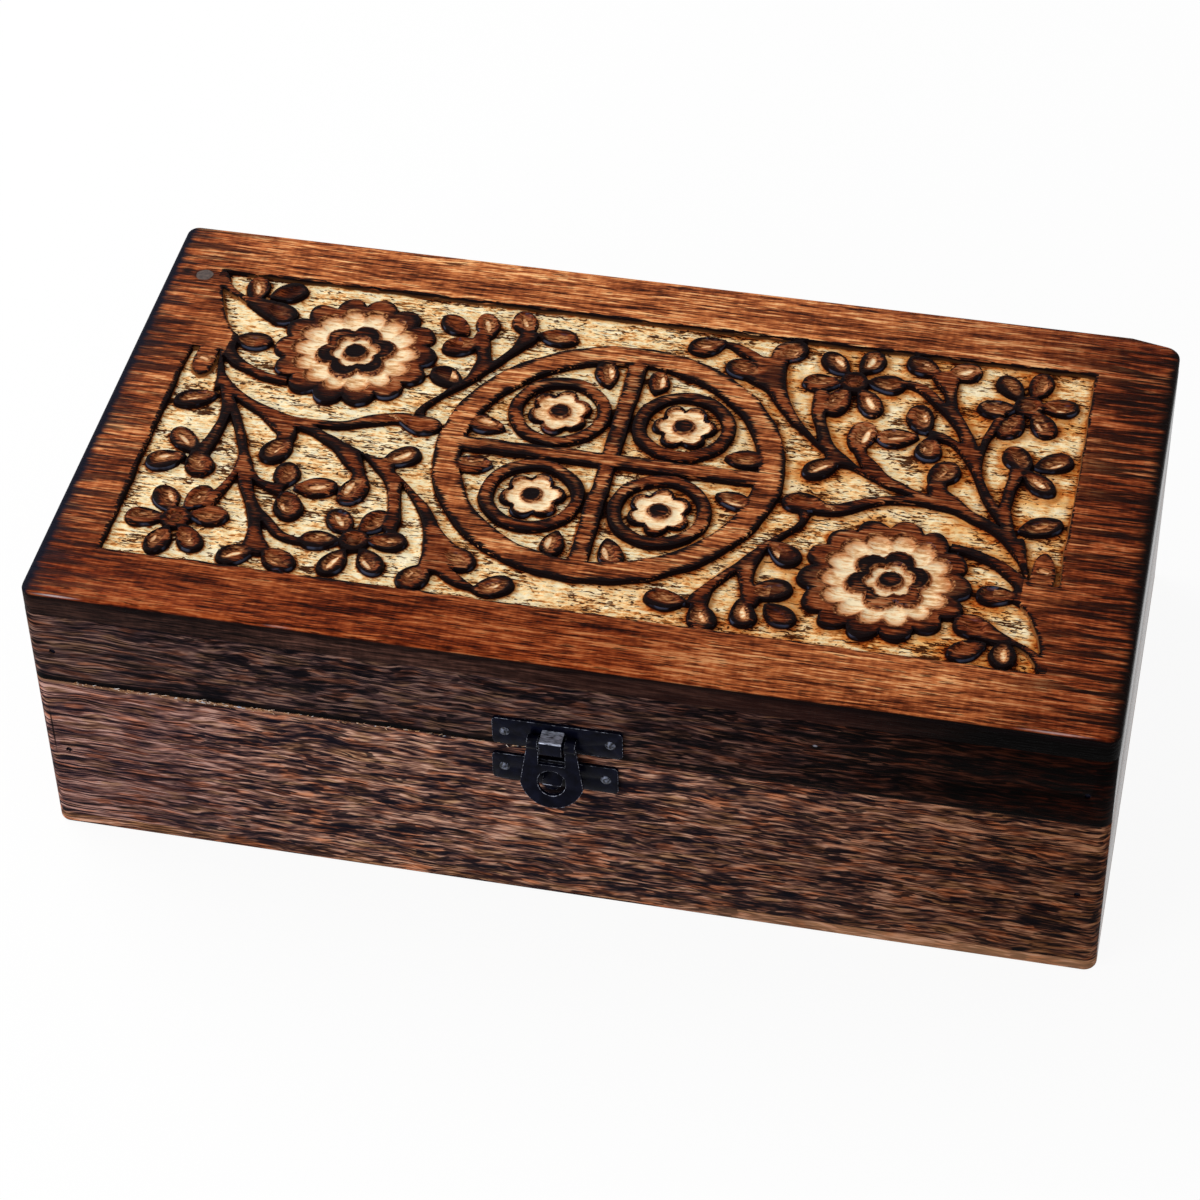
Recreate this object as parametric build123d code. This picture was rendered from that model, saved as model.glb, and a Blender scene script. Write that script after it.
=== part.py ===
"""Carved wooden box for essential oil bottles, with a hinged lid and an iron hasp.

Frame: origin at the centre of the underside, +X to the right along the front,
+Y to the back, +Z up. Millimetres. The lid is shut and the hasp hangs over its nose.
"""
from build123d import *
import os
from math import atan2, cos, degrees, pi, radians, sin, tan

# Overall box
box_length = 282.0
box_width = 154.0
box_height = 86.0
seam_height = 55.0
rim_gap = 0.3
wall = 9.0
top_board_thickness = 7.5
bottom_thickness = 4.0
corner_radius = 3.5
arris = 0.9

# Lattice between the bottles
cross_count = 5
long_count = 3
slat_thickness = 4.0
slat_height = 45.0
slat_groove = 1.5
lap_play = 0.1

# Nails of the boards
nail_radius = 0.9
nail_length = 18.0
nail_sink = 0.5
nail_inset = 6.7
lid_nail_rise = 10.5
base_nail_drop = 26.2
bottom_nail_length = 15.0
bottom_nail_inset = 53.0
top_nail_radius = 2.2
top_nail_length = 16.0
top_nail_inset_x = 10.0
top_nail_inset_y = 21.0

# Butt hinges let into the rims at the back
hinge_inset_from_end = 51.0
hinge_length = 25.0
hinge_inset = 2.0
barrel_radius = 1.9
hinge_pin_radius = 0.8
running_clearance = 0.05
knuckle_length = 8.2
knuckle_gap = 0.25
leaf_thickness = 1.2
leaf_margin = 1.0
barrel_clearance = 0.2
lid_stop_angle = 105.0
hinge_screw_spacing = 14.0
screw_radius = 0.9
screw_head_radius = 1.6
screw_head_depth = 0.8
screw_length = 9.0
screw_slot_width = 0.4
screw_slot_depth = 0.35

# Plates of the clasp on the front
clasp_x = -0.9
plate_thickness = 1.0
plate_height = 9.0
plate_corner = 1.2
hasp_plate_length = 34.0
hasp_plate_rise = 5.65
hasp_plate_shift = 0.9
catch_plate_length = 33.0
catch_plate_drop = 7.3
plate_nail_margin = 3.2
plate_nail_radius = 0.6
plate_nail_length = 7.0
plate_nail_head_radius = 1.4
plate_nail_head_height = 0.7

# Strap of the hasp plate, folded round the hasp's bar
strap_width = 5.8
strap_thickness = 1.0
strap_corner = 0.6

# Hasp
bar_radius = 1.25
bar_stand_off = 3.25
ear_radius = 1.9
hasp_thickness = 1.0
hasp_top_width = 12.6
hasp_bottom_width = 16.6
hasp_length = 19.6
hasp_round_height = 6.2
window_side_clearance = 0.6
window_drop = 6.6
keeper_top_drop = 8.4
keeper_bottom_drop = 16.2
keeper_width = 7.4
hasp_bow = 0.9
lip_start = 0.7
lip_length = 5.0
lip_flare = 3.4

# Nose of the catch plate
nose_width = 5.2
nose_length = 4.6
nose_reach = 4.9
nose_lift = 2.6
nose_thickness = 1.0
nose_tip = 1.5

# Carved field of the top board
relief_depth = 2.0
field_length = 245.0
field_width = 116.2
carving_x = -2.9
carving_y = 1.0
ring_radius = 46.7
ring_width = 7.2
cross_bar_width = 4.7
small_ring_radius = 13.6
small_ring_width = 3.4
small_ring_offset = 16.9
rosette_radius = 5.6
rosette_petals = 6
rosette_petal_radius = 3.4
rosette_eye_radius = 5.0
rosette_core_radius = 3.3
flower_x = -80.2
flower_y = 32.0
flower_petals = 14
flower_petal_circle = 19.4
flower_petal_radius = 4.4
flower_ring_radius = 17.5
flower_crown_lobes = 6
flower_crown_circle = 6.6
flower_crown_lobe = 4.2
flower_eye_radius = 6.4
flower_core_radius = 3.7

# Where the origin of the left half's own measures stands on the board
half_x = 0.4
half_y = -1.0

# Leaves of the left half: centre x, centre y, length, width, angle
leaves = [
    (-114.6, 54.0, 9.0, 6.5, 95),
    (-105.7, 54.2, 9.5, 8.0, 60),
    (-106.0, 45.6, 9.5, 8.6, -10),
    (-110.2, 32.0, 9.6, 7.0, -20),
    (-120.4, 20.5, 10.5, 6.5, 90),
    (-118.3, 5.8, 10.5, 7.6, 15),
    (-56.4, 7.0, 11.0, 6.7, -5),
    (-116.1, -11.0, 11.0, 6.0, -35),
    (-119.1, -19.3, 9.5, 7.0, 22),
    (-110.0, -19.0, 9.0, 7.0, -60),
    (-90.7, -51.2, 8.8, 7.0, 30),
    (-79.6, -51.2, 8.8, 7.0, -30),
    (-85.9, -19.5, 8.0, 6.7, 90),
    (-77.0, -22.7, 10.5, 7.0, 15),
    (-82.2, -30.8, 10.0, 7.6, -60),
    (-90.9, -9.9, 10.0, 7.6, 62),
    (-66.7, -21.4, 11.0, 7.4, 85),
    (-57.7, -6.9, 9.0, 7.4, 40),
    (-33.8, -42.1, 10.0, 7.6, -27),
    (-22.5, -50.8, 9.8, 7.2, 25),
    (-43.0, -50.8, 9.6, 7.6, 80),
    (-56.2, 49.2, 9.5, 7.0, -35),
    (-48.0, 50.5, 9.0, 5.6, 100),
    (-52.5, 40.7, 10.5, 7.6, 25),
    (-37.5, 53.3, 9.0, 7.4, 120),
    (-27.3, 49.0, 10.0, 7.0, 5),
    (-53.4, 27.0, 9.0, 7.6, 60),
    (-11.7, 35.4, 8.6, 6.6, 90),
    (-38.2, 10.1, 8.6, 7.0, 30),
]

# Six-petal flowers of the left half: centre x, centre y, petal circle, first petal's angle
small_flowers = [
    (-109.8, -41.0, 8.4, 5),
    (-61.7, -40.8, 8.6, 15),
]
small_flower_petals = 6
small_petal_length = 9.3
small_petal_width = 6.4
small_flower_disc = 4.2

# Stems of the left half: width at the start, width at the end, then points along the middle
stems = [
    (2.6, 5.0, [(-127, 61), (-119, 51), (-112, 45), (-106.5, 45.5)]),
    (2.4, 6.6, [(-112, 29), (-107.5, 21), (-97, 16), (-88, 11.5)]),
    (8.0, 3.4, [(-117, 30), (-112, 12), (-98, 3), (-80, 1.5), (-68, 4.2), (-58, 7)]),
    (9.0, 7.0, [(-126, 40), (-121, 32), (-115, 18), (-108, 6), (-104, -2)]),
    (4.6, 3.0, [(-108, 6), (-108.8, -4), (-111.5, -14)]),
    (5.6, 3.2, [(-105, 2), (-101.5, -8), (-98.5, -20), (-91, -35), (-86.5, -46)]),
    (3.4, 2.6, [(-99, -21), (-103, -27), (-107, -33)]),
    (3.0, 2.4, [(-97, -22), (-91, -24.5), (-84, -25.6)]),
    (3.0, 2.6, [(-94, -27), (-87, -36.5), (-80, -41.6), (-73, -43)]),
    (5.0, 5.4, [(-98, 1), (-87, -0.6), (-76, -8), (-67, -12), (-58, -13)]),
    (2.2, 2.4, [(-89.6, -2.5), (-90.4, -7)]),
    (2.4, 2.4, [(-68, -10), (-67, -17)]),
    (4.0, 3.0, [(-64, -11), (-60, -9), (-56, -6.5)]),
    (5.0, 3.4, [(-60, -13.5), (-56.5, -21), (-54.6, -32)]),
    (4.6, 2.8, [(-59, -13), (-50, -21.5), (-44.6, -33), (-42.8, -46)]),
    (3.0, 2.6, [(-44.5, -32), (-39.5, -38), (-35, -41.5)]),
    (2.2, 2.2, [(-37, -47.5), (-31.2, -51.7), (-24, -52)]),
    (6.4, 3.0, [(-58, 12.5), (-49.5, 22), (-43.5, 31.5), (-38.5, 40), (-35.8, 48.5)]),
    (4.4, 3.4, [(-44.5, 30), (-45.6, 38), (-50, 45)]),
]
stem_samples = 3

# Heights and places that follow from the sizes above
half_length = box_length / 2
half_width = box_width / 2
front_face = -half_width
base_top = seam_height - rim_gap / 2
lid_bottom = seam_height + rim_gap / 2
lid_wall_top = box_height - top_board_thickness
screw_taper = degrees(atan2(screw_head_radius - screw_radius, screw_head_depth))
hasp_plate_x = clasp_x + hasp_plate_shift
hasp_plate_height = seam_height + hasp_plate_rise
catch_plate_height = seam_height - catch_plate_drop
lid_nail_height = seam_height + lid_nail_rise
base_nail_height = seam_height - base_nail_drop
hinge_offset = half_length - hinge_inset_from_end
bottom_nail_offset = half_length - bottom_nail_inset
inner_length = box_length - 2 * wall
inner_width = box_width - 2 * wall
slat_top = bottom_thickness + slat_height
hinge_y = half_width - hinge_inset
bar_y = front_face - bar_stand_off
bar_z = hasp_plate_height


def block(x0, x1, y0, y1, z0, z1):
    """Box between two corners."""
    centre = ((x0 + x1) / 2, (y0 + y1) / 2, (z0 + z1) / 2)
    return Pos(*centre) * Box(abs(x1 - x0), abs(y1 - y0), abs(z1 - z0))


def rod(radius, length, start, axis):
    """Cylinder that starts at a point and runs along an axis."""
    return extrude(Plane(origin=start, z_dir=axis) * Circle(radius), length)


def disc(x, y, radius):
    """Flat round of the carving's plan."""
    return Pos(x, y) * Circle(radius)


def fused(shapes):
    """All shapes as one."""
    first, *others = shapes
    return first.fuse(*others)


def without(shape, cutters):
    """Shape less its cutters."""
    return shape.cut(*cutters)


# Outline of the whole box in plan, which rounds the corners of every board


def rounded_plan(z0, z1):
    plan = Rectangle(box_length, box_width)
    plan = fillet(plan.vertices(), corner_radius)
    return extrude(Pos(0, 0, z0) * plan, z1 - z0)


def wall_boards(z0, z1):
    """Front and back boards run the full length; the end boards stand between them."""
    plan = rounded_plan(z0, z1)
    inner = half_width - wall
    reach = half_length - wall
    boards = {
        "front": plan & block(-half_length, half_length, -half_width, -inner, z0, z1),
        "back": plan & block(-half_length, half_length, inner, half_width, z0, z1),
        "left": block(-half_length, -reach, -inner, inner, z0, z1),
        "right": block(reach, half_length, -inner, inner, z0, z1),
    }
    return boards


# Nails


def corner_rods(height, sink):
    """One rod through each end of the front and back boards, starting below the surface."""
    x = half_length - nail_inset
    starts = [(end * x, side * (half_width - sink), height) for side in (-1, 1) for end in (-1, 1)]
    length = nail_length - sink
    return [rod(nail_radius, length, (a, b, c), (0, -b, 0)) for a, b, c in starts]


def bottom_nails():
    """Nails up through the bottom panel into the middle of the long walls."""
    y = half_width - wall / 2
    places = [(i * bottom_nail_offset, side * y) for side in (-1, 1) for i in (-1, 0, 1)]
    return [rod(nail_radius, bottom_nail_length, (x, y0, 0), (0, 0, 1)) for x, y0 in places]


def top_nail():
    """Nail through the top board into the left wall, under a round of filler."""
    x = top_nail_inset_x - half_length
    y = half_width - top_nail_inset_y
    return rod(top_nail_radius, top_nail_length, (x, y, box_height), (0, 0, -1))


# Lattice of half-lapped slats


def slat_positions(count, inner):
    """Centres of the slats that part an inner length into equal cells."""
    cell = (inner - count * slat_thickness) / (count + 1)
    step = cell + slat_thickness
    return [-inner / 2 + cell + slat_thickness / 2 + i * step for i in range(count)]


cross_x = slat_positions(cross_count, inner_length)
long_y = slat_positions(long_count, inner_width)
lap_height = bottom_thickness + slat_height / 2


def cross_slat(x):
    """Slat from front to back, notched from above for the long slats."""
    reach = inner_width / 2 + slat_groove
    half = slat_thickness / 2
    slat = block(x - half, x + half, -reach, reach, bottom_thickness, slat_top)
    notch = half + lap_play
    cuts = [block(x - half, x + half, y - notch, y + notch, lap_height, slat_top) for y in long_y]
    return without(slat, cuts)


def long_slat(y):
    """Slat from end to end, notched from below over the cross slats."""
    reach = inner_length / 2 + slat_groove
    half = slat_thickness / 2
    slat = block(-reach, reach, y - half, y + half, bottom_thickness, slat_top)
    notch = half + lap_play
    low, high = bottom_thickness, lap_height
    cuts = [block(x - notch, x + notch, y - half, y + half, low, high) for x in cross_x]
    return without(slat, cuts)


def slat_grooves():
    """Grooves in the walls, open at the rim, that the slats are dropped into."""
    half = slat_thickness / 2 + lap_play
    low, high = bottom_thickness, base_top
    reach_y = inner_width / 2 + slat_groove
    reach_x = inner_length / 2 + slat_groove
    across = [block(x - half, x + half, -reach_y, reach_y, low, high) for x in cross_x]
    along = [block(-reach_x, reach_x, y - half, y + half, low, high) for y in long_y]
    return across + along


# Butt hinges


def hinge_axis(x):
    return Plane(origin=(x, hinge_y, seam_height), z_dir=(1, 0, 0))


def knuckle(x0, x1, radius):
    return extrude(hinge_axis(x0) * Circle(radius), x1 - x0)


def knuckle_spans(x):
    """The middle knuckle belongs to the base leaf, the outer two to the lid leaf."""
    half = hinge_length / 2
    middle = knuckle_length / 2
    base = [(x - middle, x + middle)]
    outer = middle + knuckle_gap
    lid = [(x - half, x - outer), (x + outer, x + half)]
    return base, lid


def leaf_plate(x, z0, z1):
    inner = half_width - wall + leaf_margin
    return block(x - hinge_length / 2, x + hinge_length / 2, inner, hinge_y, z0, z1)


def hinge_leaf(x, z0, z1, own, others, bore, screws):
    """Leaf plate with its knuckles, cleared round the other leaf's knuckles and the pin."""
    solid = fused([leaf_plate(x, z0, z1)] + [knuckle(a, b, barrel_radius) for a, b in own])
    gap = knuckle_gap
    room = barrel_radius + barrel_clearance
    cuts = [knuckle(a - gap, b + gap, room) for a, b in others]
    cuts.append(knuckle(x - hinge_length, x + hinge_length, bore))
    return without(solid, cuts + screws)


def hinge_pin(x):
    return knuckle(x - hinge_length / 2, x + hinge_length / 2, hinge_pin_radius)


def screw(x, y, z, direction):
    """Countersunk wood screw, its head flush with the leaf and slotted."""
    plane = Plane(origin=(x, y, z), z_dir=(0, 0, direction))
    cone = extrude(plane * Circle(screw_head_radius), screw_head_depth,
                   taper=screw_taper)
    shank = extrude(plane * Circle(screw_radius), screw_length)
    slot = plane * Pos(0, 0, screw_slot_depth / 2) * Box(
        2 * screw_head_radius, screw_slot_width, screw_slot_depth)
    return cone + shank, slot


def hinge_screws(x, z, direction):
    """The screws of one leaf, and the same screws without slots as cutters."""
    y = (half_width - wall + leaf_margin + hinge_y - barrel_radius) / 2
    screws, cutters = [], []
    for side in (-1, 1):
        full, slot = screw(x + side * hinge_screw_spacing / 2, y, z, direction)
        screws.append(full - slot)
        cutters.append(full)
    return screws, cutters


def rim_bevel(direction):
    """Wedge behind the hinge line that lets the lid lean back to its stop."""
    out = half_width + hinge_inset
    rise = (out - hinge_y) * tan(radians(lid_stop_angle / 2))
    outline = Polyline((hinge_y, seam_height), (out, seam_height),
                       (out, seam_height + direction * rise), close=True)
    return extrude(Plane.YZ.offset(-half_length) * make_face(outline), box_length)


def hinge_room(x, z0, z1):
    """What a rim loses for one leaf and for the barrel."""
    length = hinge_length + 2 * knuckle_gap
    barrel = knuckle(x - length / 2, x + length / 2, barrel_radius + barrel_clearance)
    return [leaf_plate(x, z0, z1), barrel]


# Clasp


def clasp_plate(length, x, z):
    """Flat iron plate on the front face with clipped corners."""
    plan = Rectangle(length, plate_height)
    plan = fillet(plan.vertices(), plate_corner)
    face = Plane(origin=(x, front_face, z), x_dir=(1, 0, 0), z_dir=(0, -1, 0))
    return extrude(face * plan, plate_thickness)


def plate_nail(x, z):
    """Round-headed nail through a plate into the board behind it."""
    face = front_face - plate_thickness
    shank = rod(plate_nail_radius, plate_nail_length, (x, face, z), (0, 1, 0))
    dome = plate_nail_head_radius ** 2 + plate_nail_head_height ** 2
    dome_radius = dome / (2 * plate_nail_head_height)
    ball = Pos(x, face + dome_radius - plate_nail_head_height, z) * Sphere(dome_radius)
    half = 2 * plate_nail_head_radius
    cap = ball & block(x - half, x + half, face - half, face, z - half, z + half)
    return cap + shank


def plate_nails(length, x, z):
    reach = length / 2 - plate_nail_margin
    return [plate_nail(x - reach, z), plate_nail(x + reach, z)]


def on_side(points):
    """Closed outline in the YZ plane, given as (stand-off from the front face, height)."""
    return [(front_face - out, z) for out, z in points]


def strap():
    """Strap folded out of the hasp plate and round the hasp's bar."""
    hole = bar_radius + running_clearance
    reach = bar_stand_off + hole + strap_thickness
    half = hole + strap_thickness
    x0 = clasp_x - strap_width / 2
    outer = block(x0, x0 + strap_width, front_face - plate_thickness / 2, front_face - reach,
                  bar_z - half, bar_z + half)
    front_edges = outer.edges().filter_by(Axis.X).group_by(Axis.Y)[0]
    outer = fillet(front_edges, strap_corner)
    hollow_depth = bar_stand_off - plate_thickness
    slot = block(x0, x0 + strap_width, bar_y, bar_y + hollow_depth, bar_z - hole, bar_z + hole)
    bore = rod(hole, strap_width, (x0, bar_y, bar_z), (1, 0, 0))
    return outer - slot - bore


def front_view(x):
    """Plane of the front face, seen from the front, with its middle at x."""
    return Plane(origin=(x, front_face, 0), x_dir=(1, 0, 0), z_dir=(0, -1, 0))


def hasp_outline():
    """Shield seen from the front, with the strap's window and the keeper hole."""
    bottom = bar_z - hasp_length
    shoulder = bottom + hasp_round_height
    half_top = hasp_top_width / 2
    half_bottom = hasp_bottom_width / 2
    sides = Polyline((-half_bottom, shoulder), (-half_top, bar_z), (half_top, bar_z),
                     (half_bottom, shoulder))
    foot = ThreePointArc((-half_bottom, shoulder), (0, bottom), (half_bottom, shoulder))
    shield = make_face(sides + foot)
    window_width = strap_width + 2 * window_side_clearance
    window = Pos(0, bar_z - window_drop / 2) * Rectangle(window_width, window_drop)
    drop = keeper_bottom_drop - keeper_top_drop
    keeper = Pos(0, bar_z - keeper_top_drop - drop / 2) * SlotOverall(drop, keeper_width, 90)
    return front_view(clasp_x) * (shield - window - keeper)


def hasp_side():
    """Side view of the bent sheet: bowed out over the plates, with a flared lip."""
    back = bar_stand_off - hasp_thickness / 2
    bow = back + hasp_bow
    run = [
        (back, bar_z),
        (bow, bar_z - window_drop),
        (bow + lip_start, bar_z - keeper_bottom_drop + lip_length / 2),
        (back + lip_flare, bar_z - hasp_length),
    ]
    front = [(out + hasp_thickness, z) for out, z in run]
    outline = Polyline(*on_side(run + front[::-1]), close=True)
    return Plane.YZ.offset(clasp_x - hasp_bottom_width) * make_face(outline)


def hasp():
    body = extrude(hasp_side(), 2 * hasp_bottom_width) & extrude(hasp_outline(), hasp_length)
    half = hasp_top_width / 2
    bar = rod(bar_radius, hasp_top_width, (clasp_x - half, bar_y, bar_z), (1, 0, 0))
    ear_width = half - strap_width / 2 - window_side_clearance
    ears = [
        rod(ear_radius, ear_width, (clasp_x - half, bar_y, bar_z), (1, 0, 0)),
        rod(ear_radius, ear_width, (clasp_x + half - ear_width, bar_y, bar_z), (1, 0, 0)),
    ]
    return fused([body, bar] + ears)


def nose():
    """Tongue turned out of the catch plate, over which the keeper hole drops."""
    top = catch_plate_height + nose_lift
    tip = top - nose_length
    start = plate_thickness / 2
    side = [
        (start, top),
        (plate_thickness, top),
        (nose_reach, tip + nose_tip),
        (nose_reach, tip),
        (nose_reach - nose_thickness, tip),
        (start, top - nose_tip),
    ]
    profile = Plane.YZ.offset(clasp_x - nose_width / 2) * make_face(
        Polyline(*on_side(side), close=True))
    reach = 2 * nose_length
    rounded = Pos(0, tip + reach / 2) * SlotOverall(reach, nose_width, 90)
    return extrude(profile, nose_width) & extrude(front_view(clasp_x) * rounded, 2 * nose_reach)


# Carving


def stem_outline(start_width, end_width, points):
    """Closed outline of a stem that tapers along a smooth line through its points."""
    line = Spline(*points)
    count = stem_samples * (len(points) - 1)
    left, right = [], []
    for i in range(count + 1):
        t = i / count
        spot = line.position_at(t)
        way = line.tangent_at(t)
        half = (start_width + (end_width - start_width) * t) / 2
        left.append((spot.X - way.Y * half, spot.Y + way.X * half))
        right.append((spot.X + way.Y * half, spot.Y - way.X * half))
    return make_face(Polyline(*left, *reversed(right), close=True))


def leaf(x, y, length, width, angle):
    return Pos(x, y) * Rot(0, 0, angle) * Ellipse(length / 2, width / 2)


def petals(x, y, count, circle, radius):
    """Round petals evenly spaced on a circle."""
    turn = 2 * pi / count
    return [disc(x + circle * cos(i * turn), y + circle * sin(i * turn), radius)
            for i in range(count)]


def small_flower(x, y, circle, first):
    """Disc with six leaf-shaped petals round it."""
    step = 360 / small_flower_petals
    parts = [disc(x, y, small_flower_disc)]
    for i in range(small_flower_petals):
        angle = first + i * step
        px = x + circle * cos(radians(angle))
        py = y + circle * sin(radians(angle))
        parts.append(leaf(px, py, small_petal_length, small_petal_width, angle))
    return fused(parts)


def big_flower(x, y):
    """Scalloped rim, sunk petal ring, lobed crown and core."""
    rim = fused([disc(x, y, flower_petal_circle)]
                + petals(x, y, flower_petals, flower_petal_circle, flower_petal_radius))
    rim = rim - disc(x, y, flower_ring_radius)
    crown = fused([disc(x, y, flower_crown_circle)]
                  + petals(x, y, flower_crown_lobes, flower_crown_circle, flower_crown_lobe))
    crown = crown - disc(x, y, flower_eye_radius)
    return [rim, crown, disc(x, y, flower_core_radius)]


def rosette(x, y):
    ring = disc(x, y, small_ring_radius) - disc(x, y, small_ring_radius - small_ring_width)
    blossom = fused([disc(x, y, rosette_radius)]
                    + petals(x, y, rosette_petals, rosette_radius, rosette_petal_radius))
    blossom = blossom - disc(x, y, rosette_eye_radius)
    return [ring, blossom, disc(x, y, rosette_core_radius)]


def medallion():
    inner = ring_radius - ring_width
    ring = disc(carving_x, carving_y, ring_radius) - disc(carving_x, carving_y, inner)
    reach = 2 * inner + ring_width
    bars = [
        Pos(carving_x, carving_y) * Rectangle(reach, cross_bar_width),
        Pos(carving_x, carving_y) * Rectangle(cross_bar_width, reach),
    ]
    parts = [ring] + bars
    for sx in (-1, 1):
        for sy in (-1, 1):
            parts += rosette(carving_x + sx * small_ring_offset, carving_y + sy * small_ring_offset)
    return parts


def left_half():
    parts = [leaf(*item) for item in leaves]
    parts += [stem_outline(*item) for item in stems]
    parts += [small_flower(*item) for item in small_flowers]
    parts += big_flower(flower_x, flower_y)
    return [Pos(half_x, half_y) * part for part in parts]


def raised_pattern():
    """All that stands up to the board's surface inside the sunk field."""
    half = left_half()
    turn = Pos(2 * carving_x, 2 * carving_y) * Rot(0, 0, 180)
    return medallion() + half + [turn * part for part in half]


def carved_recess():
    """The ground cut away between the raised pattern."""
    ground = Pos(carving_x, carving_y) * Rectangle(field_length, field_width)
    return without(ground, raised_pattern())


def top_board():
    board = rounded_plan(lid_wall_top, box_height)
    upper = board.edges().group_by(Axis.Z)[-1]
    board = fillet(upper, arris)
    recess = Pos(0, 0, box_height - relief_depth) * carved_recess()
    return without(board, [extrude(recess, relief_depth), top_nail()])


# Assembly

parts = {}

base_boards = wall_boards(bottom_thickness, base_top)
lid_boards = wall_boards(lid_bottom, lid_wall_top)

bottom = rounded_plan(0, bottom_thickness)
bottom = fillet(bottom.edges().group_by(Axis.Z)[0], arris)
parts["bottom_panel"] = without(bottom, bottom_nails())
parts["bottom_nails"] = bottom_nails()

base_leaf_low = base_top - leaf_thickness
lid_leaf_high = lid_bottom + leaf_thickness
hinge_places = {"left": -hinge_offset, "right": hinge_offset}

base_cuts = corner_rods(base_nail_height, 0) + bottom_nails() + slat_grooves()
base_cuts.append(rim_bevel(-1))
lid_cuts = corner_rods(lid_nail_height, 0) + [top_nail(), rim_bevel(1)]

base_screws, lid_screws = [], []
for side, x in hinge_places.items():
    base_spans, lid_spans = knuckle_spans(x)
    low_screws, low_cutters = hinge_screws(x, base_top, -1)
    high_screws, high_cutters = hinge_screws(x, lid_bottom, 1)
    base_screws += low_screws
    lid_screws += high_screws
    loose = hinge_pin_radius + running_clearance
    parts[f"hinge_{side}_base_leaf"] = hinge_leaf(
        x, base_leaf_low, base_top, base_spans, lid_spans, hinge_pin_radius, low_cutters)
    parts[f"hinge_{side}_lid_leaf"] = hinge_leaf(
        x, lid_bottom, lid_leaf_high, lid_spans, base_spans, loose, high_cutters)
    parts[f"hinge_{side}_pin"] = hinge_pin(x)
    base_cuts += hinge_room(x, base_leaf_low, base_top) + low_cutters
    lid_cuts += hinge_room(x, lid_bottom, lid_leaf_high) + high_cutters
parts["hinge_base_screws"] = base_screws
parts["hinge_lid_screws"] = lid_screws

catch_nails = plate_nails(catch_plate_length, clasp_x, catch_plate_height)
hasp_nails = plate_nails(hasp_plate_length, hasp_plate_x, hasp_plate_height)
catch_plate = clasp_plate(catch_plate_length, clasp_x, catch_plate_height)
hasp_plate = clasp_plate(hasp_plate_length, hasp_plate_x, hasp_plate_height)
parts["clasp_catch_plate"] = without(catch_plate + nose(), catch_nails)
parts["clasp_catch_nails"] = catch_nails
parts["clasp_hasp_plate"] = without(hasp_plate + strap(), hasp_nails)
parts["clasp_hasp_plate_nails"] = hasp_nails
parts["clasp_hasp"] = hasp()
base_cuts += catch_nails
lid_cuts += hasp_nails

parts["base_corner_nails"] = corner_rods(base_nail_height, nail_sink)
parts["lid_corner_nails"] = corner_rods(lid_nail_height, nail_sink)
parts["top_board_nail"] = top_nail()
for side, board in base_boards.items():
    parts[f"base_{side}_board"] = without(board, base_cuts)
for side, board in lid_boards.items():
    parts[f"lid_{side}_board"] = without(board, lid_cuts)
for i, x in enumerate(cross_x, start=1):
    parts[f"cross_divider_{i}"] = cross_slat(x)
for i, y in enumerate(long_y, start=1):
    parts[f"long_divider_{i}"] = long_slat(y)
parts["lid_top_board"] = top_board()

os.makedirs("parts", exist_ok=True)
for name, shape in parts.items():
    solid = Compound(children=shape) if isinstance(shape, list) else shape
    export_step(solid, f"parts/{name}.step")
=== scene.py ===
"""Carved mango wood box for essential oils: its looks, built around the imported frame.

Everything is in the part's frame: +X along the front, +Y to the back, +Z up, origin under the middle.
Sizes in the tables are millimetres, Blender's own units are metres.
"""
from math import cos, pi, radians, sin

import bmesh
import bpy
import numpy as np
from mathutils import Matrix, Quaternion, Vector
from mathutils.geometry import tessellate_polygon


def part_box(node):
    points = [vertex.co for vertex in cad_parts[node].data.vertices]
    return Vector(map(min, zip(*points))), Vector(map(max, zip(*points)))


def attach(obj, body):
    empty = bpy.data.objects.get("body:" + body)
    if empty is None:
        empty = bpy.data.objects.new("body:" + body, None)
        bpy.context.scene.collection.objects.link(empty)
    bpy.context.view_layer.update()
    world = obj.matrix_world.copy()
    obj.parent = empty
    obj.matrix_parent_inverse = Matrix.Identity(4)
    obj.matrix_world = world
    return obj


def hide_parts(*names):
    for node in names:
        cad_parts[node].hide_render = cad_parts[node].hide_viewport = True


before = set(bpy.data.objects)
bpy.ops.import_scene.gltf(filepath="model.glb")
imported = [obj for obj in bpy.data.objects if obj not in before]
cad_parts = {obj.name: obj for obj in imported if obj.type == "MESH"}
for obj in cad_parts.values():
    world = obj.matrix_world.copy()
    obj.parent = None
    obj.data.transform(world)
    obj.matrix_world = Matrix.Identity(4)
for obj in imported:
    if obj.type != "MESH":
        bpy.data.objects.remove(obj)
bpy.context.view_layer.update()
MM = 0.001

# Camera, fitted to the photograph's view of the box
camera_place = (157.9, -700.4, 725.8)
camera_way = (-0.16438, 0.70214, -0.69281)
camera_roll = -1.59
lens = 109.1
sensor = 36.0

# Board sizes, read from the frame
board_low, board_high = (np.array(corner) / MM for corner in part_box("lid_top_board"))
half_length, half_width, top = board_high
board_bottom = board_low[2]
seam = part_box("lid_front_board")[0][2] / MM

# Carved field of the top board
field_x = (-125.4, 119.6)
field_y = (-57.1, 59.1)
carving_x, carving_y = -2.9, 1.0
relief_depth = 1.6
grid_step = 0.575
grid_margin = 1.6
wall_half = 0.13
ground_wobble = 0.16
line_wobble = 0.22

# Medallion: its ring's outer radius and width, and how far its rosettes sit from its middle lines
ring_radius, ring_width = 46.7, 7.2
rosette_out = 17.0

# A distance past any in the carving
FAR = 1e3

# What the carving's attributes say of the flat border outside it
outside = {"edge": 3.0, "cut": -5.0, "burn": 0.6}

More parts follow.
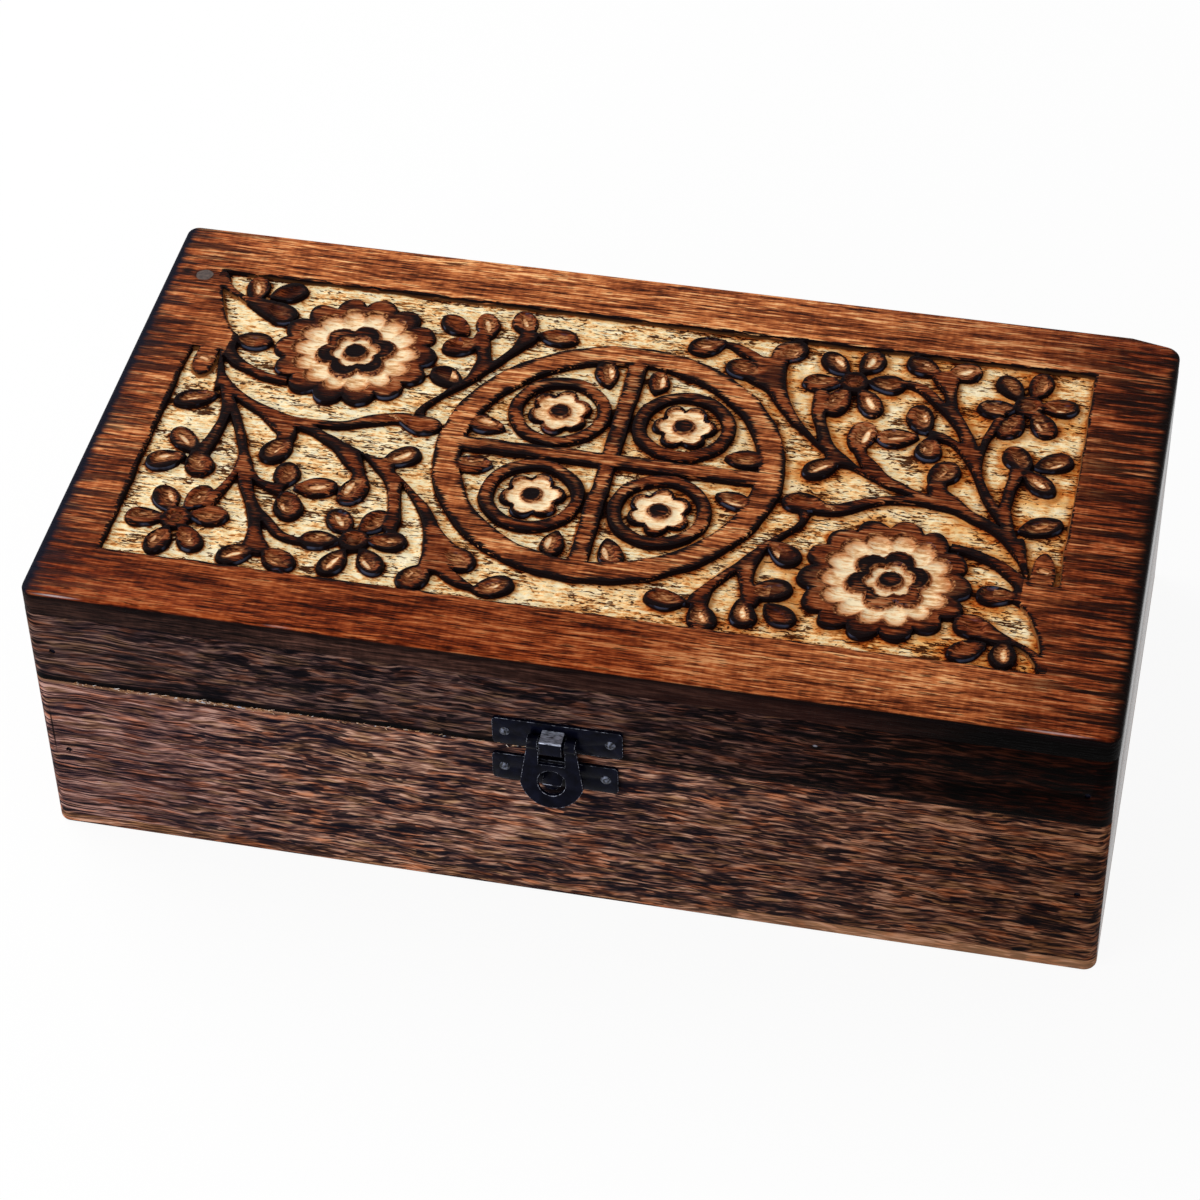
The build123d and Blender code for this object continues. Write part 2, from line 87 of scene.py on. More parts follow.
# Filler over the nail in the top board
nail_x, nail_y, nail_radius = -130.6, 56.0, 2.3

# Front face of the walls, the clasp's middle on it, and how far out the strap's top begins
front = -half_width
clasp_x = -0.9
strap_from = 1.6

# How far sharp edges are eased
board_ease, bottom_ease = 0.35, 0.3
plate_ease, hasp_ease = 0.16, 0.28

# The left half's own origin on the board, and how far each half reaches along X
half_x, half_y = 0.4, -1.0
left_until, right_from = 2, -10

# The board's right back corner is rubbed away: from where along X, and how deep
worn_from, worn_depth = 127.5, 2.8


# Nodes and colours

SMOOTH = {"interpolation_type": "SMOOTHSTEP"}
COLOUR = {"out": 2, "data_type": "RGBA"}
STAIN = {"out": 2, "data_type": "RGBA", "blend_type": "MULTIPLY"}


def paint(code):
    """Linear colour of an sRGB hex value."""
    parts = [int(code[i:i + 2], 16) / 255 for i in (1, 3, 5)]
    linear = [p / 12.92 if p <= 0.04045 else ((p + 0.055) / 1.055) ** 2.4 for p in parts]
    return (*linear, 1.0)


def add(tree, kind, inputs=(), out=0, stops=(), **settings):
    """Adds a node, sets it, links or fills its inputs, and gives one of its outputs."""
    made = tree.nodes.new(kind if kind.startswith(("Geometry", "Function")) else "ShaderNode" + kind)
    for name, value in settings.items():
        setattr(made, name, value)
    pairs = inputs.items() if isinstance(inputs, dict) else enumerate(inputs)
    for key, value in pairs:
        if isinstance(value, bpy.types.NodeSocket):
            tree.links.new(value, made.inputs[key])
        else:
            made.inputs[key].default_value = value
    if stops:
        ramp = made.color_ramp
        while len(ramp.elements) < len(stops):
            ramp.elements.new(1.0)
        for element, (position, code) in zip(ramp.elements, stops):
            element.position = position
            element.color = paint(code)
    return made.outputs[out] if made.outputs else made


def new_material(name):
    """Empty material and its node tree."""
    material = bpy.data.materials.new(name)
    material.use_nodes = True
    material.node_tree.nodes.clear()
    return material, material.node_tree


def finish_surface(tree, colour, height, depth, inputs):
    """Principled surface with bump from a height in 0..1 that stands for a depth in millimetres."""
    bump = add(tree, "Bump", {"Height": height, "Strength": 1.0, "Distance": depth * MM})
    shader = add(tree, "BsdfPrincipled", {"Base Color": colour, "Normal": bump, **inputs})
    add(tree, "OutputMaterial", {"Surface": shader})


def flecks(tree, place, size, detail=3.0, rough=0.5, out=0):
    """Noise whose flecks have the given size in millimetres along X, Y and Z."""
    scale = tuple(1 / (s * MM) for s in size)
    drawn = add(tree, "VectorMath", (place, scale), operation="MULTIPLY")
    return add(tree, "TexNoise", {"Vector": drawn, "Scale": 1.0, "Detail": detail,
                                  "Roughness": rough}, out)


def weighed(tree, parts):
    """Tone about 0.5 from several noises, each with its share."""
    total = 0.5 - sum(share for _, share in parts) / 2
    for noise, share in parts:
        total = add(tree, "Math", (noise, share, total), operation="MULTIPLY_ADD")
    return total


def layered(tree, colour, layers, way=COLOUR):
    """The colour with others laid over it in turn, each where its mask says and at its share."""
    for mask, share, code in layers:
        amount = add(tree, "Math", (mask, share), operation="MULTIPLY")
        colour = add(tree, "Mix", {0: amount, 6: colour, 7: paint(code)}, **way)
    return colour


def along_board(tree, place):
    """The place with X and Y changed over on faces towards X, so that their grain runs along."""
    facing = add(tree, "SeparateXYZ", (add(tree, "NewGeometry", out=3),))
    facing = add(tree, "Math", (facing,), operation="ABSOLUTE")
    across = add(tree, "Math", (facing, 0.97), operation="GREATER_THAN")
    x, y, z = (add(tree, "SeparateXYZ", (place,), axis) for axis in range(3))
    turned = add(tree, "CombineXYZ", (y, x, z))
    return add(tree, "Mix", {0: across, 4: place, 5: turned}, 1, data_type="VECTOR")


def wavy_place(tree, reach, size, follow_board=False):
    """Object coordinates, and the same pushed about so that straight grain wanders."""
    place = add(tree, "TexCoord", out=3)
    grain = along_board(tree, place) if follow_board else place
    push = flecks(tree, grain, size, 2.0, out=1)
    push = add(tree, "VectorMath", (push, (0.5, 0.5, 0.5)), operation="SUBTRACT")
    push = add(tree, "VectorMath", (push, (0, reach * MM, reach * MM)), operation="MULTIPLY")
    return place, add(tree, "VectorMath", (grain, push), operation="ADD")


def reach_mask(tree, place, axis, start, end, ragged, size):
    """Mask that rises between two places on an axis, in millimetres, with a ragged front."""
    value = add(tree, "SeparateXYZ", (place,), axis)
    noise = flecks(tree, place, size, 3.0, 0.6)
    offset = start - ragged * 0.5
    far = end - ragged * 0.5
    value = add(tree, "Math", (noise, -ragged * MM, value), operation="MULTIPLY_ADD")
    return add(tree, "MapRange", (value, offset * MM, far * MM), **SMOOTH)


def spot_mask(tree, place, at, radii, soft):
    """Mask of an oval spot about a place, in millimetres, soft towards its rim."""
    off = add(tree, "VectorMath", (place, tuple(c * MM for c in at)), operation="SUBTRACT")
    off = add(tree, "VectorMath", (off, tuple(1 / (r * MM) for r in radii)), operation="MULTIPLY")
    away = add(tree, "VectorMath", (off,), 1, operation="LENGTH")
    return add(tree, "MapRange", (away, 1.0, 1.0 - soft), **SMOOTH)


# Wood


def top_skin(tree, place, moved):
    """Stained and flamed top: red-brown, fine straight grain, scorched towards the ends, with a white
    highlight painted on the front arris.
    """
    streak = flecks(tree, moved, (24, 1.1, 1.1), 3.0, 0.6)
    fibre = flecks(tree, moved, (6.5, 0.55, 0.55), 2.0, 0.6)
    tone = weighed(tree, [(flecks(tree, moved, (110, 8, 8), 2.0), 0.6),
                          (flecks(tree, place, (34, 13, 13), 2.0), 0.7),
                          (streak, 1.25), (fibre, 1.45),
                          (flecks(tree, place, (1.4, 5, 5), 2.0), 0.3)])
    colour = add(tree, "ValToRGB", (tone,), stops=[
        (0.12, "#2e1108"), (0.35, "#7c3b1d"), (0.50, "#a65b32"), (0.66, "#d27e47"), (0.90, "#fcc286")])
    pores = add(tree, "MapRange", (flecks(tree, moved, (6, 0.5, 0.5), 2.0), 0.58, 0.67), **SMOOTH)
    pore_share = add(tree, "Math", (pores, 0.8), operation="MULTIPLY")
    colour = add(tree, "Mix", {0: pore_share, 6: colour, 7: paint("#2b0f07")}, **COLOUR)

    # Stain that gathers towards the ends, the right back corner and the left of the front
    cloud = (46, 3.6, 3.6)
    front_stain = reach_mask(tree, place, 1, -30, -72, -30, cloud)
    fade = add(tree, "MapRange", (add(tree, "SeparateXYZ", (place,)), 0.01, 0.07, 0.85, 0.28), **SMOOTH)
    front_stain = add(tree, "Math", (front_stain, fade), operation="MULTIPLY")
    colour = layered(tree, colour, [
        (reach_mask(tree, place, 0, 92, 130, 30, cloud), 0.68, "#aa684e"),
        (reach_mask(tree, place, 0, -100, -142, -30, cloud), 0.5, "#b8836c"),
        (spot_mask(tree, place, (105, 80, 86), (75, 32, 60), 0.9), 0.5, "#a0674c"),
        (front_stain, 1.0, "#aa7352")], STAIN)

    # Flame marks on the ends: brown-black, and blue-black along the very rim at the left, whose blue is a
    # sheen painted on the char
    flames = flecks(tree, moved, (34, 2.4, 2.4), 3.0, 0.6)
    flames = add(tree, "MapRange", (flames, 0.52, 0.44), **SMOOTH)
    left = reach_mask(tree, place, 0, -104, -136, -10, cloud)
    right = reach_mask(tree, place, 0, 100, 134, 10, cloud)
    tongue = (26, 1.7, 1.7)
    colour = layered(tree, colour, [
        (add(tree, "Math", (left, flames), operation="MULTIPLY"), 0.8, "#200e0d"),
        (add(tree, "Math", (right, flames), operation="MULTIPLY"), 0.95, "#120504"),
        (reach_mask(tree, place, 0, -134.5, -141, -44, tongue), 0.8, "#1a1015"),
        (reach_mask(tree, place, 0, 136.6, 141.6, 36, tongue), 0.7, "#160603")])
    burnt = (17, 1.9, 1.9)
    marks = [(reach_mask(tree, place, 0, half_length - 3.6, half_length - 0.8, 6, burnt), "#0b0302"),
             (reach_mask(tree, place, 0, 3.4 - half_length, 1.4 - half_length, -3.0, burnt), "#0b0c1a"),
             (spot_mask(tree, place, (nail_x - 5.4, nail_y + 1, top), (3.4, 2.6, 9), 0.9), "#1a0d0d"),
             (spot_mask(tree, place, (nail_x, nail_y, top), (3.9, 3.4, 9), 0.5), "#2a1511")]
    for mask, code in marks:
        colour = add(tree, "Mix", {0: mask, 6: colour, 7: paint(code)}, **COLOUR)

    # Edge of the board: dark straight grain, black under the arris and towards both ends
    y = add(tree, "SeparateXYZ", (place,), 1)
    y = add(tree, "Math", (y,), operation="ABSOLUTE")
    outer = add(tree, "MapRange", (y, 66 * MM, 67 * MM))
    facing = add(tree, "SeparateXYZ", (add(tree, "NewGeometry", out=1),), 2)
    on_edge = add(tree, "MapRange", (facing, 0.6, 0.25), **SMOOTH)
    on_edge = add(tree, "Math", (on_edge, outer), operation="MULTIPLY")
    side = add(tree, "ValToRGB", (tone,), stops=[(0.15, "#0e0605"), (0.5, "#34201b"), (0.85, "#5c3d33")])
    side = layered(tree, side, [
        (reach_mask(tree, place, 0, -70, 50, 60, cloud), 0.75, "#1c0806"),
        (reach_mask(tree, place, 0, 62, 108, 30, cloud), 1.0, "#020101"),
        (reach_mask(tree, place, 0, -70, -122, -30, cloud), 0.65, "#060305"),
        (reach_mask(tree, place, 2, 82.6, 84.6, 2.0, cloud), 0.8, "#080304")])
    colour = add(tree, "Mix", {0: on_edge, 6: colour, 7: side}, **COLOUR)

    # Painted highlight: the white shine of lacquer is painted on the front arris, near both ends, and
    # faintly left of the middle
    arris_y, arris_z = -half_width + 0.35, top - 0.25
    colour = layered(tree, colour, [
        (spot_mask(tree, place, (x, arris_y, arris_z), (reach, 0.4, 0.35), 0.9), share, "#cfc4c6")
        for x, reach, share in ((-131, 8, 0.6), (125, 12, 0.4), (-72, 5, 0.2))])
    height = weighed(tree, [(fibre, 1.0), (pores, -0.6)])
    return colour, height


def motif_skin(tree, place, moved, skin, edge, burn):
    """Skin of the raised wood: the motifs are stained darker than the border, the flame blackened them in
    places, their rims are scorched, and blue-grey highlights are painted on their slopes towards the
    front."""
    heat = flecks(tree, place, (12, 9, 9), 2.0)
    on_motif = add(tree, "MapRange", (burn, 1.0, 1.1, 0.0, 0.7))
    blackened = add(tree, "MapRange", (heat, 0.49, 0.59), **SMOOTH)
    blackened = add(tree, "Math", (blackened, on_motif), operation="MULTIPLY")
    skin = add(tree, "Mix", {0: on_motif, 6: skin, 7: paint("#845040")}, **STAIN)
    skin = add(tree, "Mix", {0: blackened, 6: skin, 7: paint("#1e0c0a")}, **COLOUR)
    streaky = flecks(tree, moved, (6, 0.6, 0.6), 2.0, 0.6)
    inward = add(tree, "Math", (streaky, 4.4, -2.2), operation="MULTIPLY_ADD")
    inward = add(tree, "Math", (edge, inward), operation="ADD")
    reach = add(tree, "Math", (heat, 4.4, -1.15), operation="MULTIPLY_ADD")
    reach = add(tree, "Math", (reach, 0.25), operation="MAXIMUM")
    reach = add(tree, "Math", (reach, burn), operation="MULTIPLY")
    scorch = add(tree, "Math", (inward, reach), operation="DIVIDE")
    scorch = add(tree, "MapRange", (scorch, 1.2, 0.5), **SMOOTH)
    skin = add(tree, "Mix", {0: scorch, 6: skin, 7: paint("#110809")}, **COLOUR)

    # Painted highlight: blue-grey glints are painted on the charred rims' slopes that face the front, for
    # the shine of their lacquer
    slope = add(tree, "SeparateXYZ", (add(tree, "NewGeometry", out=1),), 1)
    painted_glint = add(tree, "MapRange", (slope, -0.3, -0.6), **SMOOTH)
    on_petal = add(tree, "MapRange", (burn, 1.2, 1.35, 0.0, 0.6))
    painted_glint = add(tree, "Math", (painted_glint, on_petal), operation="MULTIPLY")
    here = add(tree, "MapRange", (flecks(tree, place, (7, 5, 5), 2.0), 0.50, 0.60), **SMOOTH)
    painted_glint = add(tree, "Math", (painted_glint, here), operation="MULTIPLY")
    return add(tree, "Mix", {0: painted_glint, 6: skin, 7: paint("#4c536b")}, **COLOUR)


def raw_ground(tree, place, moved, tone, edge, rag_mm):
    """Unstained ground: cream, with torn pores, specks of old stain and darker long streaks."""
    ground = add(tree, "ValToRGB", (tone,), stops=[
        (0.08, "#9c5c28"), (0.25, "#dc9a58"), (0.37, "#fac98c"), (0.50, "#ffe3ac"), (0.75, "#fff3d0")])
    patch = flecks(tree, place, (12, 7, 7), 2.0)
    limit = add(tree, "Math", (patch, -0.50, 0.885), operation="MULTIPLY_ADD")
    for size in ((1.9, 0.8, 0.8), (4.0, 0.6, 0.6), (8, 0.7, 0.7)):
        over = add(tree, "Math", (flecks(tree, moved, size, 2.0, 0.5), limit), operation="SUBTRACT")
        for low, high, share, code in ((-0.05, 0.0, 0.4, "#cd8748"), (-0.008, 0.014, 0.95, "#34170c")):
            mask = add(tree, "MapRange", (over, low, high, 0.0, share), **SMOOTH)
            ground = add(tree, "Mix", {0: mask, 6: ground, 7: paint(code)}, **COLOUR)
    # Painted shade at the foot of each wall: the ground darkens towards the wall, for the shade in the
    # recess, with some of the stain gathered there
    outward = add(tree, "Math", (rag_mm, edge), operation="SUBTRACT")
    reach = add(tree, "Math", (patch, 3.6, -0.9), operation="MULTIPLY_ADD")
    reach = add(tree, "Math", (reach, 0.2), operation="MAXIMUM")
    near = add(tree, "Math", (outward, reach), operation="DIVIDE")
    shade = add(tree, "MapRange", (near, 1.0, 0.2, 0.0, 0.85), **SMOOTH)
    ground = add(tree, "Mix", {0: shade, 6: ground, 7: paint("#a86a34")}, **STAIN)

    # Ochre painted round the foot of the walls as shade in the hollows, and warm tan patches over the
    # ground, most of both on the right
    right = add(tree, "MapRange", (add(tree, "SeparateXYZ", (place,)), -0.05, 0.09), **SMOOTH)
    cloud = flecks(tree, place, (13, 9, 9), 2.0)
    pool = add(tree, "MapRange", (right, 0.0, 1.0, 1.0, 3.4))
    pool = add(tree, "Math", (cloud, pool), operation="MULTIPLY")
    pool = add(tree, "Math", (outward, pool), operation="DIVIDE")
    pool = add(tree, "MapRange", (pool, 1.6, 0.5, 0.0, 0.75), **SMOOTH)
    ground = add(tree, "Mix", {0: pool, 6: ground, 7: paint("#d69a48")}, **STAIN)
    tan = add(tree, "MapRange", (cloud, 0.42, 0.6, 0.1, 0.75), **SMOOTH)
    tan = add(tree, "Math", (tan, right), operation="MULTIPLY")
    return add(tree, "Mix", {0: tan, 6: ground, 7: paint("#efc07a")}, **STAIN)


def carved_mango():
    """Mango wood, stained, flamed and carved through: red-brown skin on the raised motifs, black scorched
    rims, raw cream ground with ochre shade painted at the foot of each wall."""
    material, tree = new_material("carved_stained_mango")
    place, moved = wavy_place(tree, 2.4, (70, 22, 22))
    skin, skin_height = top_skin(tree, place, moved)
    edge, cut, burn = (add(tree, "Attribute", out=2, attribute_name=name)
                       for name in ("edge", "cut", "burn"))
    rag = flecks(tree, place, (2.6, 1.0, 1.0), 3.0, 0.6)
    rag_mm = add(tree, "Math", (rag, 1.6, -0.8), operation="MULTIPLY_ADD")
    skin = motif_skin(tree, place, moved, skin, edge, burn)
    tone = weighed(tree, [(flecks(tree, moved, (5.5, 0.9, 0.9), 3.0, 0.6), 1.7),
                          (flecks(tree, place, (20, 12, 12), 2.0), 0.8),
                          (flecks(tree, place, (1.7, 0.9, 0.9), 2.0, 0.6), 0.9)])
    ground = raw_ground(tree, place, moved, tone, edge, rag_mm)

    # Walls between the two, and the gouge cuts in leaves and petals
    charred = add(tree, "MapRange", (burn, 0.65, 0.95))
    face = add(tree, "Mix", {0: charred, 6: paint("#84552e"), 7: paint("#140a09")}, **COLOUR)
    wall = add(tree, "MapRange", (edge, -0.42, -0.08), **SMOOTH)
    ground = add(tree, "Mix", {0: wall, 6: ground, 7: face}, **COLOUR)
    is_skin = add(tree, "MapRange", (edge, -0.11, 0.07), **SMOOTH)
    colour = add(tree, "Mix", {0: is_skin, 6: ground, 7: skin}, **COLOUR)
    in_cut = add(tree, "Math", (rag_mm, 0.3, cut), operation="MULTIPLY_ADD")
    gouge = add(tree, "MapRange", (in_cut, -0.75, -0.25, 0.0, 0.85), **SMOOTH)
    ribs = add(tree, "ValToRGB", (flecks(tree, moved, (2.6, 0.55, 0.55), 2.0, 0.6),), stops=[
        (0.35, "#1a0a06"), (0.46, "#643219"), (0.57, "#9d613a"), (0.68, "#d39c66")])
    colour = add(tree, "Mix", {0: gouge, 6: colour, 7: ribs}, **COLOUR)
    pale = add(tree, "MapRange", (in_cut, 0.05, 0.3), **SMOOTH)
    fresh = add(tree, "ValToRGB", (tone,), stops=[
        (0.2, "#cf9763"), (0.42, "#f6cb98"), (0.66, "#ffeac2")])
    shallow = add(tree, "MapRange", (in_cut, 1.0, 0.15, 0.0, 0.8), **SMOOTH)
    fresh = add(tree, "Mix", {0: shallow, 6: fresh, 7: paint("#c98a5a")}, **STAIN)
    colour = add(tree, "Mix", {0: pale, 6: colour, 7: fresh}, **COLOUR)

    tear = flecks(tree, place, (1.8, 0.8, 0.8), 3.0, 0.6)
    raw = add(tree, "Math", (1.0, is_skin), operation="SUBTRACT")
    torn = add(tree, "Math", (raw, tear), operation="MULTIPLY")
    height = add(tree, "Math", (torn, 1.5, skin_height), operation="MULTIPLY_ADD")
    gloss = add(tree, "MapRange", (is_skin, 0.0, 1.0, 0.85, 0.42))
    finish_surface(tree, colour, height, 0.2, {"Roughness": gloss, "Specular IOR Level": 0.02})
    return material


def wall_mango(name, tones, dash_colour, shades, marks=(), gloss=(0.55, 0.015)):
    """Stained mango wood of the walls: short navy-black dashes that flow in a brown ground with
    orange and olive patches, combed long at the left end.

    shades are masks: axis, where it starts and ends, how ragged it is, its share and colour, how it
    mixes, and where it stops along X. marks are oval spots: place, radii, softness, share, colour.
    gloss is the roughness and the specular level."""
    material, tree = new_material(name)
    place, moved = wavy_place(tree, 4.2, (19, 9, 7), True)
    combed = reach_mask(tree, place, 0, -92, -122, -16, (20, 6, 6))
    comb = flecks(tree, moved, (60, 1.4, 0.6), 1.0)
    dash = flecks(tree, moved, (7.5, 2.6, 0.78), 2.0, 0.55)
    dash = add(tree, "Mix", {0: combed, 2: dash, 3: comb})
    fine = flecks(tree, moved, (6.5, 2.2, 0.42), 2.0, 0.6)
    cluster = flecks(tree, moved, (28, 6, 5), 3.0)
    tone = weighed(tree, [(dash, 2.0), (fine, 1.6), (cluster, 0.8)])
    colour = add(tree, "ValToRGB", (tone,), stops=list(zip((0.14, 0.34, 0.50, 0.68, 0.92), tones)))
    hue = flecks(tree, moved, (12, 2.4, 2.4), 2.0)
    for low, high, code in ((0.50, 0.64, "#ffc896"), (0.49, 0.37, "#d6cca4")):
        mask = add(tree, "MapRange", (hue, low, high, 0.0, 0.7), **SMOOTH)
        colour = add(tree, "Mix", {0: mask, 6: colour, 7: paint(code)}, **STAIN)
    blot = weighed(tree, [(flecks(tree, moved, (5.5, 2.6, 0.95), 1.0, 0.5), 1.1), (cluster, 0.6)])
    blot = add(tree, "MapRange", (blot, 0.43, 0.37, 0.0, 0.86), **SMOOTH)
    less = add(tree, "Math", (combed, -0.75, 1.0), operation="MULTIPLY_ADD")
    blot = add(tree, "Math", (blot, less), operation="MULTIPLY")
    colour = add(tree, "Mix", {0: blot, 6: colour, 7: paint(dash_colour)}, **COLOUR)
    for axis, start, end, ragged, share, code, way, stop in shades:
        mask = reach_mask(tree, place, axis, start, end, ragged, (24, 4, 4))
        if stop:
            mask = add(tree, "Math", (mask, reach_mask(tree, place, 0, *stop, 10, (9, 4, 4))),
                       operation="MULTIPLY")
        colour = layered(tree, colour, [(mask, share, code)], way)
    colour = layered(tree, colour, [(spot_mask(tree, place, at, radii, soft), share, code)
                                    for at, radii, soft, share, code in marks])
    height = weighed(tree, [(dash, 0.6), (fine, 0.5)])
    finish_surface(tree, colour, height, 0.2, {"Roughness": gloss[0], "Specular IOR Level": gloss[1]})
    return material


def bare_mango():
    """Sawn mango wood without stain: straw brown, matt, with faint saw marks; the outer stain
    crept a little way over the rims."""
    material, tree = new_material("bare_sawn_mango")
    place, moved = wavy_place(tree, 3.0, (60, 20, 20), True)
    tone = weighed(tree, [(flecks(tree, moved, (60, 2, 2), 3.0), 1.2),
                          (flecks(tree, moved, (8, 0.5, 0.5), 2.0), 0.9)])
    colour = add(tree, "ValToRGB", (tone,), stops=[
        (0.15, "#7d5433"), (0.40, "#a97c50"), (0.62, "#c79a6b"), (0.88, "#dcb78a")])
    rag = flecks(tree, place, (9, 9, 9))
    for axis, half in ((0, half_length), (1, half_width)):
        far = add(tree, "Math", (add(tree, "SeparateXYZ", (place,), axis),), operation="ABSOLUTE")
        far = add(tree, "Math", (rag, 1.2 * MM, far), operation="MULTIPLY_ADD")
        crept = add(tree, "MapRange", (far, (half - 2.2) * MM, (half - 0.9) * MM), **SMOOTH)
        colour = add(tree, "Mix", {0: crept, 6: colour, 7: paint("#35211a")}, **COLOUR)
    saw = flecks(tree, place, (0.7, 30, 30), 1.0)
    finish_surface(tree, colour, saw, 0.15, {"Roughness": 0.75, "Specular IOR Level": 0.2})
    return material


def torn_fibre():
    """Torn ends of unstained wood fibres: straw, with a grey-blue highlight painted on some."""
    material, tree = new_material("torn_mango_fibre")
    place = add(tree, "TexCoord", out=3)
    tone = flecks(tree, place, (2.2, 1.0, 1.0), 2.0)
    colour = add(tree, "ValToRGB", (tone,), stops=[
        (0.36, "#6d4630"), (0.5, "#b98d66"), (0.6, "#d9cdc4"), (0.68, "#aab4cc")])
    finish_surface(tree, colour, tone, 0.05, {"Roughness": 0.8, "Specular IOR Level": 0.1})
    return material


# Metals and filler


def japanned_iron():
    """Pressed sheet iron with black japan: blue-black, glossy, with a faint orange peel."""
    material, tree = new_material("japanned_sheet_iron")
    place = add(tree, "TexCoord", out=3)
    mottle = flecks(tree, place, (2.5, 2.5, 2.5), 3.0)
    colour = add(tree, "ValToRGB", (mottle,), stops=[(0.3, "#020208"), (0.7, "#0b0d1c")])
    gloss = add(tree, "MapRange", (mottle, 0.3, 0.7, 0.16, 0.3))
    orange_peel = flecks(tree, place, (0.9, 0.9, 0.9), 2.0)
    finish_surface(tree, colour, orange_peel, 0.03, {"Roughness": gloss, "Specular IOR Level": 0.04})
    return material


def rubbed_and_highlit_iron(name, black_up_to, bare_from):
    """Iron where handling rubbed the japan off: grey metal in streaks, black left between; the bare grey
    also serves as painted highlight where it is laid on edges and tops.
    """
    material, tree = new_material(name)
    place = add(tree, "TexCoord", out=3)
    mottle = flecks(tree, place, (1.6, 0.5, 0.5), 3.0, 0.6)
    colour = add(tree, "ValToRGB", (mottle,), stops=[
        (black_up_to, "#0d0e16"), (bare_from, "#a9aec0")])
    finish_surface(tree, colour, mottle, 0.03, {"Roughness": 0.34, "Metallic": 0.6})
    return material


def worn_nail():
    """Drive nail with its blacking rubbed off the dome: grey iron with dark pits."""
    material, tree = new_material("rubbed_nail_iron")
    place = add(tree, "TexCoord", out=3)
    mottle = flecks(tree, place, (0.7, 0.7, 0.7), 3.0)
    colour = add(tree, "ValToRGB", (mottle,), stops=[(0.42, "#090a10"), (0.62, "#5f6475")])
    finish_surface(tree, colour, mottle, 0.08, {"Roughness": 0.42, "Metallic": 0.6})
    return material


def brass_washed_steel():
    """Stamped steel hinge with a thin brass wash: yellow-grey, brushed along the leaf."""
    material, tree = new_material("brass_washed_steel")
    place = add(tree, "TexCoord", out=3)
    brush = flecks(tree, place, (9, 0.25, 0.25), 2.0)
    colour = add(tree, "ValToRGB", (brush,), stops=[(0.3, "#9a8350"), (0.7, "#cdb87c")])
    dull = add(tree, "MapRange", (flecks(tree, place, (6, 6, 6)), 0.55, 0.75, 0.0, 0.6), **SMOOTH)
    colour = add(tree, "Mix", {0: dull, 6: colour, 7: paint("#5a4a30")}, **COLOUR)
    finish_surface(tree, colour, brush, 0.03, {"Roughness": 0.36, "Metallic": 1.0})
    return material


def wood_filler():
    """Filler over a nail head, stained with the board: dull grey-brown and grainless."""
    material, tree = new_material("stained_wood_filler")
    place = add(tree, "TexCoord", out=3)
    grit = flecks(tree, place, (0.8, 0.8, 0.8))
    colour = add(tree, "ValToRGB", (grit,), stops=[(0.3, "#281b17"), (0.7, "#54423a")])
    finish_surface(tree, colour, grit, 0.1, {"Roughness": 0.7})
    return material


# Carving: signed distances in millimetres, positive inside what is raised


def smooth_line(points, steps):
    """Points along a smooth curve through the given ones."""
    p = np.array(points, float)
    ends = np.vstack([2 * p[0] - p[1], p, 2 * p[-1] - p[-2]])
    t = np.linspace(0, 1, steps, endpoint=False)[:, None]
    runs = [0.5 * (2 * b + (c - a) * t + (2 * a - 5 * b + 4 * c - d) * t ** 2
                   + (3 * b - a - 3 * c + d) * t ** 3)
            for a, b, c, d in zip(ends, ends[1:], ends[2:], ends[3:])]
    return np.vstack(runs + [p[-1:]])


def area_depth(x, y, points):
    """Depth inside a closed outline."""
    inside = np.zeros(x.shape, bool)
    nearest = np.full(x.shape, FAR)
    for (x0, y0), (x1, y1) in zip(points, points[1:] + points[:1]):
        dx, dy = x1 - x0, y1 - y0
        t = np.clip(((x - x0) * dx + (y - y0) * dy) / max(dx * dx + dy * dy, 1e-9), 0, 1)
        nearest = np.minimum(nearest, np.hypot(x - x0 - t * dx, y - y0 - t * dy))
        crosses = (y0 > y) != (y1 > y)
        rise = dy if dy else 1e-9
        inside ^= crosses & (x < x0 + (y - y0) * dx / rise)
    return np.where(inside, nearest, -nearest)


def leaf_place(x, y, at, angle):
    """Coordinates along and across a leaf."""
    dx, dy = x - at[0], y - at[1]
    c, s = cos(radians(angle)), sin(radians(angle))
    return dx * c + dy * s, dy * c - dx * s


def oval_depth(u, v, length, width, taper=0.0):
    """Depth inside an oval whose start is narrower than its tip."""
    a, b = length / 2, width / 2
    point = np.clip(np.where(u < 0, 0.9, 0.35) * (u / a) ** 2, 0, 0.96)
    v = v * (1 - taper * u / a) * (1 - point) ** -0.32
    near = np.hypot(u / a, v / b)
    slope = np.maximum(np.hypot(u / a ** 2, v / b ** 2), 1e-6)
    return -near * (near - 1) / slope


def scallops(angle, count, circle, radius, turn=0.0):
    """Outline of round lobes on a circle: its radius at an angle."""
    lobe = 2 * pi / count
    off = (angle - turn + lobe / 2) % lobe - lobe / 2
    chord = np.maximum(radius ** 2 - (circle * np.sin(off)) ** 2, 0)
    return circle * np.cos(off) + np.sqrt(chord)


